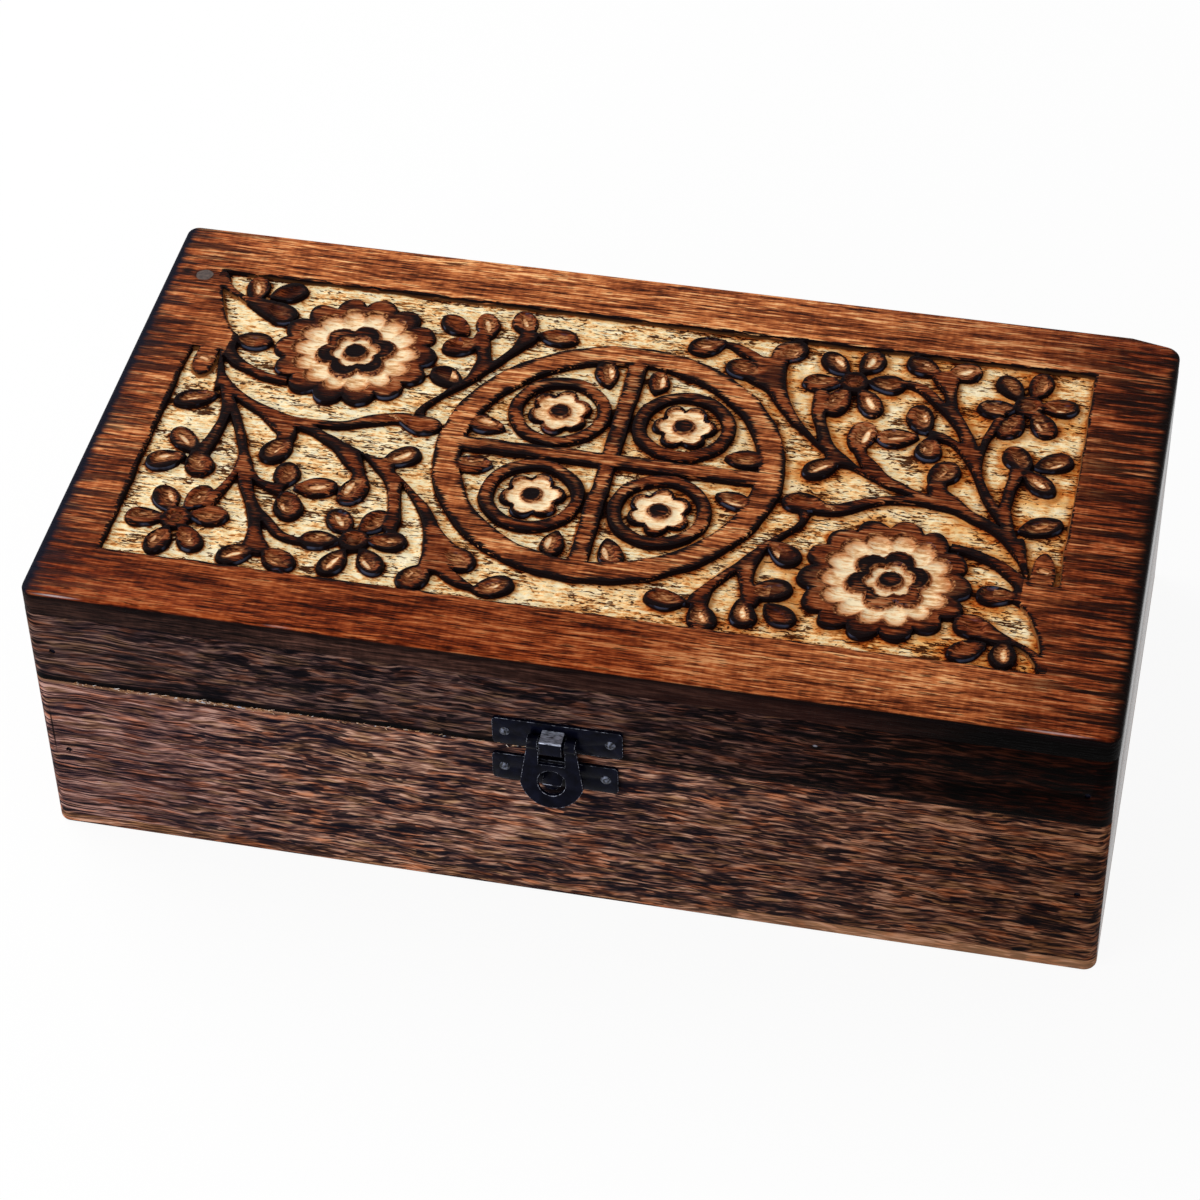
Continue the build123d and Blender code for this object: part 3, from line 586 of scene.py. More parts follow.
class Relief:
    """Height field of the carving, built up from raised shapes and cuts.

    For each place it keeps how deep inside raised wood it lies, how softly that wood is domed, how
    far it is scorched, how far it sinks, how deep inside a pale cut it lies, and how near a rim it
    counts where the shapes on top have rims of their own."""

    def __init__(self, x, y):
        self.x, self.y = x, y
        self.raised = np.full(x.shape, -FAR)
        self.soft = np.full(x.shape, 0.8)
        self.burn = np.full(x.shape, 0.9)
        self.sink = np.zeros(x.shape)
        self.cut = np.full(x.shape, outside["cut"])
        self.rim = np.full(x.shape, FAR)

    def fields(self):
        """All that is kept of each place, in one order."""
        return self.raised, self.soft, self.burn, self.sink, self.cut, self.rim

    def join(self, other, part):
        """Takes over another relief of a part of this one wherever that stands higher."""
        higher = other.raised > self.raised[part]
        for mine, theirs in zip(self.fields(), other.fields()):
            mine[part] = np.where(higher, theirs, mine[part])

    def near(self, px, py, reach):
        """Which places of the field lie in a square about a place."""
        return (np.abs(self.x - px) < reach) & (np.abs(self.y - py) < reach)

    def around(self, px, py, reach):
        """The places near a middle, and how far and at what angle from it they lie."""
        where = self.near(px, py, reach)
        dx, dy = self.x[where] - px, self.y[where] - py
        return where, np.hypot(dx, dy), np.arctan2(dy, dx)

    def raise_shape(self, where, depth, soft, burn):
        """Joins a raised shape; where it is the deeper one, its softness and its burn count."""
        higher = depth > self.raised[where]
        for field, value in ((self.soft, soft), (self.burn, burn)):
            field[where] = np.where(higher, value, field[where])
        self.raised[where] = np.maximum(self.raised[where], depth)

    def leaf(self, px, py, length, width, angle):
        """Pointed leaf, split along its middle by one stroke of a gouge."""
        where = self.near(px, py, 0.7 * length + 3)
        u, v = leaf_place(self.x[where], self.y[where], (px, py), angle)
        self.raise_shape(where, oval_depth(u, v, 1.1 * length, width, 0.22), 0.9, 1.4)
        a, b = 0.42 * length, 0.30 * width
        bent = v + 0.10 * width * (1 - (u / a) ** 2)
        bowl = 1 - ((u - 0.02 * length) / a) ** 2 - (bent / b) ** 2
        fresh = 0.5 + 0.5 * sin(13.7 * px + 7.1 * py)
        aside = 0.1 * width * (1 if sin(5.3 * px) > 0 else -1)
        pale = oval_depth(u - 0.04 * length, bent - aside, (0.3 + 0.26 * fresh) * length,
                          (0.12 + 0.13 * fresh) * width) + 0.4 * fresh - 0.12
        self.sink[where] = np.maximum(self.sink[where], 0.85 * np.clip(bowl, 0, 1) ** 0.7)
        self.cut[where] = np.maximum(self.cut[where], np.maximum(pale, 0.6 * np.clip(bowl, -9, 1) - 0.75))

    def slip(self, x0, y0, x1, y1, width):
        """Short stray cut that bares pale wood."""
        where = self.near((x0 + x1) / 2, (y0 + y1) / 2, 6)
        dx, dy = x1 - x0, y1 - y0
        x, y = self.x[where], self.y[where]
        t = np.clip(((x - x0) * dx + (y - y0) * dy) / (dx * dx + dy * dy), 0, 1)
        depth = width / 2 - np.hypot(x - x0 - t * dx, y - y0 - t * dy)
        self.cut[where] = np.maximum(self.cut[where], depth)
        self.sink[where] += 0.3 * np.clip(depth + 0.3, 0, 0.5)

    def area(self, runs, soft=0.7, burn=1.15):
        """Wood inside a closed outline whose runs are smooth and meet in sharp corners."""
        outline = []
        for run in runs:
            outline += [tuple(p) for p in smooth_line(run, 3 if len(run) > 2 else 1)]
        depth = area_depth(self.x, self.y, outline)
        self.raise_shape(..., depth, soft, burn)

    def disc(self, px, py, radius, soft, burn):
        """Round boss."""
        where, away, _ = self.around(px, py, radius + 5)
        self.raise_shape(where, radius - away, soft, burn)

    def band(self, px, py, radius, width, burn):
        """Ring of the given outer radius."""
        where, away, _ = self.around(px, py, radius + 5)
        depth = width / 2 - np.abs(away - radius + width / 2)
        self.raise_shape(where, depth, 0.6, burn)

    def small_flower(self, px, py, petals):
        """Leaf-shaped petals round a boss with a groove about its middle."""
        self.disc(px, py, 4.0, 0.8, 1.15)
        for x, y, angle in petals:
            self.leaf(x, y, 9.6, 6.6, angle)
        where, away, _ = self.around(px, py, 4)
        groove = np.exp(-((away - 1.9) / 0.45) ** 2)
        self.sink[where] = np.maximum(self.sink[where] * (away > 2.4), 0.6 * groove)
        self.cut[where] = np.where(away < 2.4, -0.6, self.cut[where])

    def big_flower(self, px, py):
        """Fourteen petals round a fluted dish, a six-lobed crown, a hollow eye and a core."""
        where, away, angle = self.around(px, py, 28)
        turn = 0.07
        outer = scallops(angle, 14, 18.3, 4.25, turn)
        self.raise_shape(where, (outer - away) * 0.95, 0.9, 1.5)
        petal = scallops(angle, 14, 14.0, 3.3, turn)
        crown = scallops(angle, 6, 7.0, 4.0, 0.3)
        eye = scallops(angle, 6, 3.9, 2.5, 0.3)
        lobe = 2 * pi / 14
        flute = (lobe / 2 - np.abs((angle - turn + lobe / 2) % lobe - lobe / 2)) * away
        dish = np.minimum(petal - away, away - crown)
        fade = np.minimum(0.26 * (petal - away), 0.5 * flute + 0.3 * (14.4 - away))
        hollow = np.minimum(eye - away, away - 3.3)
        slope = np.clip((petal - away) / 4, 0, 1)
        fluted = 0.3 + 0.75 * slope + 0.2 * np.clip(flute / 2, 0, 1)
        self.sink[where] = np.where(dish > 0, fluted, np.where(hollow > 0, 1.2, self.sink[where]))
        crest = np.where(away < 3.3, 3.3 - away, np.minimum(crown - away, away - eye))
        solid = (dish <= 0) & (hollow <= 0) & (away < crown)
        self.sink[where] = np.where(solid, 0.2, self.sink[where])
        self.rim[where] = np.where(solid, 0.45 * crest + 0.15, self.rim[where])
        self.cut[where] = np.maximum(np.minimum(0.9 * dish, fade), hollow)

    def rosette(self, px, py, turn):
        """Ring round a six-petalled flower with a hollow middle and a dark core."""
        self.band(px, py, 13.8, 3.6, 1.08)
        where, away, angle = self.around(px, py, 12)
        outer = scallops(angle, 6, 5.6, 3.1, turn)
        inner = scallops(angle, 6, 4.2, 3.1, turn)
        self.raise_shape(where, outer - away, 0.9, 1.7)
        hollow = np.minimum(inner - away, away - 2.9)
        flower = away < outer
        self.sink[where] = np.where(flower & (hollow > 0), 0.5 + 0.25 * hollow, self.sink[where])
        self.cut[where] = np.where(flower, hollow, self.cut[where])
        self.rim[where] = np.where(away < 2.9, 1.1 - 0.3 * away, self.rim[where])


# Motifs of the left half: leaves as centre x, centre y, length, width, angle from start to tip
leaves = [
    (-114.6, 54.0, 9.4, 6.5, 100), (-105.7, 54.2, 10.0, 7.4, 35), (-105.6, 45.4, 9.4, 8.2, -40),
    (-110.0, 32.3, 10.0, 6.8, 5), (-118.4, 6.3, 11.2, 6.6, 206),
    (-56.4, 7.0, 11.4, 6.9, -5), (-116.1, -11.0, 11.0, 6.4, 135), (-119.1, -19.3, 10.0, 7.2, 205),
    (-110.0, -19.0, 9.4, 7.4, -58), (-90.7, -51.2, 9.4, 7.0, 210), (-79.6, -51.2, 9.8, 7.0, -30),
    (-85.9, -19.5, 8.8, 6.9, 92), (-77.0, -22.7, 10.8, 6.8, 12), (-82.2, -30.8, 10.2, 7.6, -70),
    (-90.9, -9.9, 10.0, 7.8, 242), (-66.7, -21.4, 11.0, 7.4, 255), (-57.7, -6.9, 10.0, 7.2, 38),
    (-33.8, -42.1, 10.0, 7.4, -27), (-22.5, -50.8, 10.2, 7.0, 25), (-43.0, -50.8, 9.8, 7.8, 240),
    (-56.2, 49.2, 9.5, 6.8, 145), (-47.4, 50.2, 9.6, 6.4, 108), (-52.5, 40.9, 10.5, 7.2, 200),
    (-37.5, 53.3, 9.6, 7.0, 115), (-27.5, 49.2, 10.4, 6.8, 0), (-53.4, 27.2, 9.6, 7.0, 150),
    (-10.9, 36.4, 9.4, 6.4, 108), (-38.2, 10.1, 9.2, 6.4, 170), (-38.0, -5.8, 9.2, 6.4, 185),
    (-10.9, -31.9, 8.6, 6.2, 265),
]

# Petals of the two small flowers of the left half: centre, then petals as x, y, angle
small_flowers = [
    ((-109.8, -41.0), [(-114.3, -34.3, 120), (-106.3, -32.3, 65), (-101.6, -38.6, 8),
                       (-104.3, -47.7, -55), (-111.9, -49.6, -103), (-117.9, -41.9, 185)]),
    ((-61.7, -40.8), [(-67.0, -34.3, 128), (-58.6, -33.2, 65), (-53.2, -39.3, 8),
                      (-55.8, -47.7, -50), (-65.0, -49.5, -110), (-70.5, -42.1, 188)]),
]

# Stem work of the left half that grows from the border: smooth runs that meet in sharp corners
branches = [
    [(-140, 62), (-126.2, 60.4), (-123, 55.9), (-120.3, 52.7), (-117.1, 50.4)],
    [(-117.1, 50.4), (-113, 50.6), (-108, 49.5)],
    [(-108, 49.5), (-104.8, 46), (-104.6, 42.9), (-107.3, 41.7), (-110.1, 43.1), (-113.3, 45.8),
     (-117.8, 49.0), (-120.6, 50.6), (-124.4, 53.2)],
    [(-124.4, 53.2), (-123.2, 49), (-121.2, 43.2), (-119.1, 38.6), (-116.6, 35.5), (-114.2, 33.6)],
    [(-114.2, 33.6), (-114, 29.5), (-113.4, 27.2), (-109.8, 23.6), (-106.2, 21.4), (-102.5, 20),
     (-99.5, 19.2), (-96, 18.8)],
    [(-96, 16.5), (-99, 16.8), (-102.9, 17.3), (-105.7, 18.5), (-110.2, 20.3), (-112.9, 21.8),
     (-116.2, 25)],
    [(-116.2, 25), (-115, 21.2), (-113.4, 17.7), (-109.8, 13.6), (-106.2, 10.5), (-102.5, 8.2),
     (-98, 5.9), (-94.4, 4.8), (-88.9, 3.4), (-84, 3.2), (-77.8, 4.1), (-73.7, 5.5), (-70.1, 7.7),
     (-66.5, 9.3), (-62.8, 10.2), (-59, 10.2)],
    [(-59, 5.2), (-62, 6.2), (-65, 5.8), (-70.5, 3.6), (-75, 2.2), (-83.6, 0.6)],
    [(-83.6, 0.6), (-79.5, -1.3), (-76.9, -2.3), (-73.7, -4.4), (-70.1, -6), (-66.5, -7.8),
     (-63.2, -8.3), (-60, -7)],
    [(-57.6, -9), (-58.3, -11.4), (-57.4, -13.6)],
    [(-57.4, -13.6), (-54.2, -16.2), (-50.5, -19.9), (-46.7, -23.5), (-44.1, -26.9), (-41.8, -30.8),
     (-39.5, -33.8), (-37, -36.3), (-34, -39)],
    [(-35.5, -45), (-33.7, -47.1), (-31.2, -48.8), (-28.3, -51.3), (-25, -52)],
    [(-25, -53), (-29.9, -52.7), (-32.8, -51.5), (-35.7, -49.8), (-37.9, -48.2), (-41, -49)],
    [(-43.8, -48), (-43.2, -46), (-43.3, -42), (-44, -37.3), (-44.8, -33.7), (-46.5, -29.1),
     (-49.2, -24.6), (-52, -20.5), (-55.2, -16.6)],
    [(-55.2, -16.6), (-53.8, -23), (-52.6, -28), (-51.9, -32.1), (-52, -38)],
    [(-56.8, -34), (-56.1, -30), (-56.3, -25.4), (-57.4, -21.8), (-58.8, -18.6), (-61, -15),
     (-63.8, -12.2), (-66.3, -9.8), (-69, -7.6)],
    [(-69, -7.6), (-67, -12), (-65.6, -15.2), (-64.8, -19)],
    [(-68.8, -18.5), (-69, -14.8), (-71.5, -12), (-74.2, -9.1), (-77.4, -6.2), (-80.6, -4.3),
     (-83.8, -2.2), (-88.6, -0.4)],
    [(-88.6, -0.4), (-87.6, -4), (-88, -7)],
    [(-92.5, -7), (-92.6, -4.4), (-93.1, -3.1)],
    [(-93.1, -3.1), (-96.8, 0.5), (-100.3, 3.4), (-104.1, 5.5), (-108.4, 8.6)],
    [(-108.4, 8.6), (-106, 4), (-103.7, 0.2), (-102.1, -3), (-100.3, -7.5), (-98.9, -11.2),
     (-96.6, -15.3), (-94.4, -19.4), (-91.8, -22.4), (-88.9, -23.2), (-85, -23.8)],
    [(-85, -27), (-87.5, -26.4), (-90, -25.6), (-94.4, -22.9)],
    [(-94.4, -22.9), (-93.3, -26.2), (-91.6, -29.3), (-88.5, -33.5), (-84, -38), (-80.1, -41),
     (-76.2, -42.2), (-72, -42.6)],
    [(-72, -44.4), (-77, -44.2), (-80.5, -43.6), (-84, -41.8), (-87.9, -37.6)],
    [(-87.9, -37.6), (-86.4, -42.3), (-84.2, -45.3), (-82, -48.5)],
    [(-85, -50.4), (-88.5, -50)],
    [(-89.9, -48.5), (-89.6, -44.5), (-89.8, -41.6), (-91.2, -37.1), (-93, -33), (-95.3, -28.9),
     (-97.3, -25.3), (-98.9, -21.2)],
    [(-98.9, -21.2), (-99.3, -26), (-100.5, -30.8), (-102, -36)],
    [(-105, -34.5), (-102.9, -29.4), (-101.2, -25.3), (-100.4, -19.8), (-100.7, -13.5),
     (-102.5, -8.5), (-104.5, -4), (-107.4, 1.2)],
    [(-107.4, 1.2), (-107.7, -6), (-108.2, -12), (-108.4, -16)],
    [(-112.7, -15.5), (-111.6, -10.5), (-110.5, -6.2), (-110, -0.7), (-110.3, 1.8), (-111.4, 7.3),
     (-113, 11.6)],
    [(-113, 11.6), (-114.8, 11)],
    [(-114.8, 11), (-115.6, 15.5), (-116.3, 20.5), (-117.4, 27)],
    [(-117.4, 27), (-140, 27)],
]

# Spray of the left half that stands free between the big flower and the medallion
spray = [
    [(-58.8, 11), (-56.9, 15.5), (-54.2, 19.1), (-52.2, 22.3), (-50, 25.2), (-48.5, 28.3),
     (-47.8, 31.6), (-47.3, 34.9), (-47.9, 38.7), (-50.5, 43)],
    [(-50.5, 43), (-50, 47), (-46.5, 48.5)],
    [(-46.5, 48.5), (-46, 45.3), (-45.1, 42), (-44.4, 39), (-43.2, 35.7)],
    [(-43.2, 35.7), (-41.6, 37.8), (-39.9, 40.8), (-38.5, 44.1), (-38, 50)],
    [(-33, 50), (-33.3, 46.5), (-35.3, 43.5), (-37.9, 39.6), (-40.3, 36), (-42.8, 32.2), (-44.9, 28.8),
     (-46.9, 25.8), (-49.2, 23.2), (-51.6, 20.6), (-54.3, 17.2), (-56.2, 13), (-55.5, 10)],
]

# Spade-shaped bud that hangs from the border, left browner than the leaves
bud = [
    [(-123.6, 28), (-123.9, 22.5)],
    [(-123.9, 22.5), (-123.0, 18.2), (-120.6, 15.6), (-118.4, 17.4), (-117.6, 21.5)],
    [(-117.6, 21.5), (-117.4, 28)],
    [(-117.4, 28), (-123.6, 28)],
]

# Slips of the gouge and scuffs on the left half, as ends and width
slips = [
    (-64.3, 8.8, -60.1, 4.7, 0.8), (-106.1, 5.7, -99.6, 1.4, 0.9), (-3.5, -30.5, -3.2, -28.3, 1.3),
    (-121.6, 22.6, -119.8, 22.0, 1.4),
]

# Where the right half, turned from the left one, strays from it: place, and how far
strays = [
    ((74.3, -29.1), (2.8, -0.2)), ((47, -38), (1.6, -2.4)), ((26, -47), (1.0, -2.3)),
    ((50, -3), (0.3, -2.3)), ((46.8, -23), (1.7, -1.0)), ((103.6, -28), (0.9, -1.8)),
    ((72, 28), (-0.6, -1.2)), ((60, 25), (0.9, -1.9)), ((51, 11), (1.9, -0.4)),
    ((108, 21), (-0.5, -0.6)), ((55, 45), (0.4, 1.0)), ((103, 45), (-0.3, -0.7)),
    ((16, 55), (-2.5, -1.5)),
]


def field_depth(x, y):
    """Depth inside the border: positive on the wood round the field."""
    side = np.minimum(x - field_x[0], field_x[1] - x)
    end = np.minimum(y - field_y[0], field_y[1] - y)
    return -np.minimum(side, end)


def carve_half(relief):
    """Draws the left half's motifs in its own coordinates."""
    relief.area(branches)
    shoulder = (relief.x < -116) & (relief.y > 24) & (relief.y < 57)
    relief.burn[shoulder] = 0.6
    relief.area(spray)
    relief.area(bud, 0.6, 0.45)
    for leaf in leaves:
        relief.leaf(*leaf)
    for centre, petals in small_flowers:
        relief.small_flower(*centre, petals)
    relief.big_flower(-80.9, 33.1)
    for run in slips:
        relief.slip(*run)


def strayed(x, y):
    """Places on the right half, moved back to where the turned left half has them."""
    total = np.full(x.shape, 0.15)
    move_x, move_y = np.zeros(x.shape), np.zeros(x.shape)
    for (px, py), (dx, dy) in strays:
        weight = np.exp(-((x - px - dx) ** 2 + (y - py - dy) ** 2) / (2 * 9.0 ** 2))
        total += weight
        move_x += weight * dx
        move_y += weight * dy
    return x - move_x / total, y - move_y / total


def carve(x, y):
    """The whole carving: border, crossed ring, four rosettes, and the left half's motifs twice."""
    relief = Relief(x, y)
    border_burn = np.clip((-118 - x) / 4, 0, 1) * 0.38 + np.clip((y - 54) / 3, 0, 1) * 0.25 + 0.6
    relief.raise_shape(..., field_depth(x, y), 0.7, np.minimum(border_burn, 0.98))

    # Ring, the cross inside it, and a rosette in each quarter
    relief.band(carving_x, carving_y, ring_radius, ring_width, 1.02)
    for depth in (2.35 - np.abs(x - carving_x), 2.4 - np.abs(y - carving_y)):
        inner = np.hypot(x - carving_x, y - carving_y) < 43
        relief.raise_shape(inner, depth[inner], 0.6, 1.06)
    for sx, sy, turn in ((-1, 1, 0.4), (1, 1, 0.1), (-1, -1, 0.25), (1, -1, 0.55)):
        relief.rosette(carving_x + sx * rosette_out, carving_y + sy * rosette_out, turn)

    # Left half, and the same turned half round, a little astray, for the right
    left = x[:, 0] < left_until
    half = Relief(x[left] - half_x, y[left] - half_y)
    carve_half(half)
    relief.join(half, left)
    right = x[:, 0] > right_from
    px, py = strayed(x[right] - half_x, y[right] - half_y)
    half = Relief(2 * carving_x - 2 * half_x - px, 2 * carving_y - 2 * half_y - py)
    carve_half(half)
    relief.join(half, right)
    return relief


def smooth_noise(x, y, size, seed):
    """Gentle bumps about the given size across, most of them between -1 and 1."""
    draw = np.random.default_rng(seed)
    total = np.zeros(x.shape)
    for _ in range(10):
        angle, phase = draw.uniform(0, 2 * pi, 2)
        wave = 2 * pi / (size * draw.uniform(0.8, 1.8))
        total += np.sin((x * cos(angle) + y * sin(angle)) * wave + phase)
    return total / 4


def wobbled(x, y):
    """Places moved a little, as a hand-held gouge strays from the drawn line."""
    size = 9
    return (x + line_wobble * smooth_noise(x, y, size, 3),
            y + line_wobble * smooth_noise(x, y, size, 4))


def drawn_to_outlines(x, y, depth):
    """The grid with its points beside an outline moved to stand a hair inside or outside it."""
    high = depth > 0
    at_edge = np.zeros(x.shape, bool)
    for axis in (0, 1):
        change = np.diff(high, axis=axis)
        first = [slice(None), slice(None)]
        second = [slice(None), slice(None)]
        first[axis], second[axis] = slice(None, -1), slice(1, None)
        at_edge[tuple(first)] |= change
        at_edge[tuple(second)] |= change
    slope_x, slope_y = np.gradient(depth, grid_step)
    steep = np.maximum(slope_x ** 2 + slope_y ** 2, 0.3)
    target = np.where(high, wall_half, -wall_half)
    move = np.clip((target - depth) / steep, -1.1 * grid_step, 1.1 * grid_step)
    rim = at_edge.copy()
    rim[[0, -1], :] = False
    rim[:, [0, -1]] = False
    px = x + np.where(rim, move * slope_x, 0)
    py = y + np.where(rim, move * slope_y, 0)
    return px, py, np.where(rim, target, depth)


def carved_height(x, y, depth, relief):
    """Height of the carving: domed motifs over a ground with chisel marks, which rises a little at
    the foot of each wall."""
    soft = relief.soft
    inner = np.clip(depth, 0, None)
    dome = soft - np.sqrt(np.maximum(soft ** 2 - np.maximum(soft - inner, 0) ** 2, 0))
    drop = 0.5 * dome + relief.sink * (depth > 0.3)
    chisel = ground_wobble * smooth_noise(x, y, 3.2, 7) + 0.10 * smooth_noise(x, y, 1.6, 8)
    foot = 0.25 * np.clip(1 + depth / 0.8, 0, 1)
    floor = relief_depth - foot + chisel * np.clip(-depth / 0.8, 0, 1)
    z = top - np.where(depth > 0, drop, floor)
    z[[0, -1], :] = top
    z[:, [0, -1]] = top
    return z


def split_squares(number, high):
    """Two triangles for each square of the grid, so split that few of them cross an outline."""
    a, b = number[:-1, :-1].ravel(), number[1:, :-1].ravel()
    c, d = number[1:, 1:].ravel(), number[:-1, 1:].ravel()
    flat = high.ravel()
    straight = (flat[a] == flat[c])[:, None]
    first = np.where(straight, np.stack([a, b, c], 1), np.stack([a, b, d], 1))
    second = np.where(straight, np.stack([a, c, d], 1), np.stack([b, c, d], 1))
    return np.vstack([first, second])


def carved_grid():
    """Vertices, triangles and attributes of the carved field, and the vertices round its rim."""
    xs = np.arange(field_x[0] - grid_margin, field_x[1] + grid_margin, grid_step)
    ys = np.arange(field_y[0] - grid_margin, field_y[1] + grid_margin, grid_step)
    x, y = np.meshgrid(xs, ys, indexing="ij")
    relief = carve(*wobbled(x, y))
    px, py, depth = drawn_to_outlines(x, y, relief.raised)
    z = carved_height(x, y, depth, relief)
    places = np.stack([px.ravel(), py.ravel(), z.ravel()], 1)
    number = np.arange(x.size).reshape(x.shape)
    high = depth > 0
    fields = {"edge": np.where(high, np.minimum(depth, relief.rim), depth),
              "cut": np.where(depth > 0.2, relief.cut, outside["cut"]), "burn": relief.burn}
    for name, values in fields.items():
        values[[0, -1], :] = values[:, [0, -1]] = outside[name]
        fields[name] = values.ravel()
    ring = np.concatenate([number[:, 0], number[-1, 1:], number[-2::-1, -1], number[0, -2:0:-1]])
    return places, split_squares(number, high), fields, ring


def board_outline(inset):
    """Outline of the top board, rounded at its corners and rubbed away at the right back one."""
    corners = [(1, -1, 3.4), (1, 1, 3.6), (-1, 1, 3.2), (-1, -1, 3.6)]
    points = []
    for sx, sy, radius in corners:
        cx, cy = sx * (half_length - radius), sy * (half_width - radius)
        start = {(1, -1): -90, (1, 1): 0, (-1, 1): 90, (-1, -1): 180}[(sx, sy)]
        for i in range(7):
            angle = radians(start + 15 * i)
            reach = radius - inset
            x, y = cx + reach * cos(angle), cy + reach * sin(angle)
            points.append((x, y))
            if (sx, sy, i) == (1, 1, 6):
                points.append((worn_from, y))
    worn = [max(x - worn_from, 0) / (half_length - worn_from) if y > 0 else 0 for x, y in points]
    return [(x, y - worn_depth * share) for (x, y), share in zip(points, worn)]


def top_board():
    """Carved board: relief, flat border, rounded arris, sides and underside in one closed mesh."""
    places, triangles, fields, ring = carved_grid()
    arris = 1.0
    loops = []
    for turn in (90, 60, 30, 0):
        inset = arris * (1 - cos(radians(turn)))
        loops.append([(x, y, top - arris * (1 - sin(radians(turn)))) for x, y in board_outline(inset)])
    loops.append([(x, y, board_bottom) for x, y in board_outline(0)])
    count = len(loops[0])
    base = len(places)
    vertices = np.vstack([places] + [np.array(loop) for loop in loops])
    border = tessellate_polygon([[Vector(p) for p in loops[0]], [Vector(places[i]) for i in ring]])
    number = list(range(base, base + count)) + [int(i) for i in ring]
    faces = [tuple(int(i) for i in t) for t in triangles]
    for t in border:
        corner = [number[i] for i in t]
        p, q, r = (vertices[i] for i in corner)
        turn = (q[0] - p[0]) * (r[1] - p[1]) - (q[1] - p[1]) * (r[0] - p[0])
        faces.append(tuple(corner if turn > 0 else corner[::-1]))
    for level in range(len(loops) - 1):
        upper, lower = base + level * count, base + (level + 1) * count
        for i in range(count):
            j = (i + 1) % count
            faces.append((upper + i, lower + i, lower + j, upper + j))
    last = base + (len(loops) - 1) * count
    faces.append(tuple(range(last + count - 1, last - 1, -1)))
    mesh = bpy.data.meshes.new("top_board")
    mesh.from_pydata((vertices * MM).tolist(), [], faces)
    for name, values in fields.items():
        attribute = mesh.attributes.new(name, "FLOAT", "POINT")
        full = np.full(len(vertices), outside[name], np.float32)
        full[:base] = values
        attribute.data.foreach_set("value", full)
    mesh.shade_smooth()
    mesh.set_sharp_from_angle(angle=radians(38))
    return new_piece("carved_top_board", mesh)


def new_piece(name, mesh):
    """Object at the origin with the given mesh."""
    piece = bpy.data.objects.new(name, mesh)
    bpy.context.scene.collection.objects.link(piece)
    return piece


def give(piece, material):
    """Makes this the piece's one material."""
    piece.data.materials.clear()
    piece.data.materials.append(material)


def baked(piece):
    """Turns a piece's modifiers into its mesh."""
    result = piece.evaluated_get(bpy.context.evaluated_depsgraph_get())
    mesh = bpy.data.meshes.new_from_object(result)
    piece.modifiers.clear()
    piece.data = mesh


def eased(name, body, width, materials):
    """Copy of a CAD node with its sharp edges eased, as sanding and handling leave them.

    A second material, if given, is for the eased edges."""
    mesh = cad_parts[name].data.copy()
    work = bmesh.new()
    work.from_mesh(mesh)
    bmesh.ops.remove_doubles(work, verts=work.verts, dist=1e-6)
    bmesh.ops.dissolve_limit(work, angle_limit=radians(1), verts=work.verts, edges=work.edges)
    work.to_mesh(mesh)
    work.free()
    piece = new_piece("eased_" + name, mesh)
    mesh.materials.clear()
    for material in materials:
        mesh.materials.append(material)
    bevel = piece.modifiers.new("eased", "BEVEL")
    bevel.width = width * MM
    bevel.segments = 2
    bevel.limit_method = "ANGLE"
    bevel.angle_limit = radians(35)
    bevel.material = len(materials) - 1
    baked(piece)
    piece.data.shade_smooth()
    piece.data.set_sharp_from_angle(angle=radians(30))
    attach(piece, body)
    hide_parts(name)
    return piece


def filler_disc(px, py, radius):
    """Filler over the nail head: a low dome that lies on the board, not quite round."""
    rings = [(1.0, -0.4), (1.0, 0.0), (0.92, 0.012), (0.6, 0.018), (0.25, 0.02)]
    count = 28
    vertices, faces = [], []
    for share, rise in rings:
        for i in range(count):
            angle = 2 * pi * i / count
            reach = radius * share * (1 + 0.05 * sin(2 * angle + 0.6) + 0.03 * sin(5 * angle))
            place = (px + reach * cos(angle), py + reach * sin(angle), top + rise)
            vertices.append([c * MM for c in place])
    for level in range(len(rings) - 1):
        for i in range(count):
            j = (i + 1) % count
            lower, upper = level * count, (level + 1) * count
            faces.append((lower + i, lower + j, upper + j, upper + i))
    faces.append(tuple(range(count - 1, -1, -1)))
    faces.append(tuple(range(len(vertices) - count, len(vertices))))
    mesh = bpy.data.meshes.new("filler")
    mesh.from_pydata(vertices, [], faces)
    mesh.shade_smooth()
    mesh.set_sharp_from_angle(angle=radians(50))
    return new_piece("filler_disc", mesh)


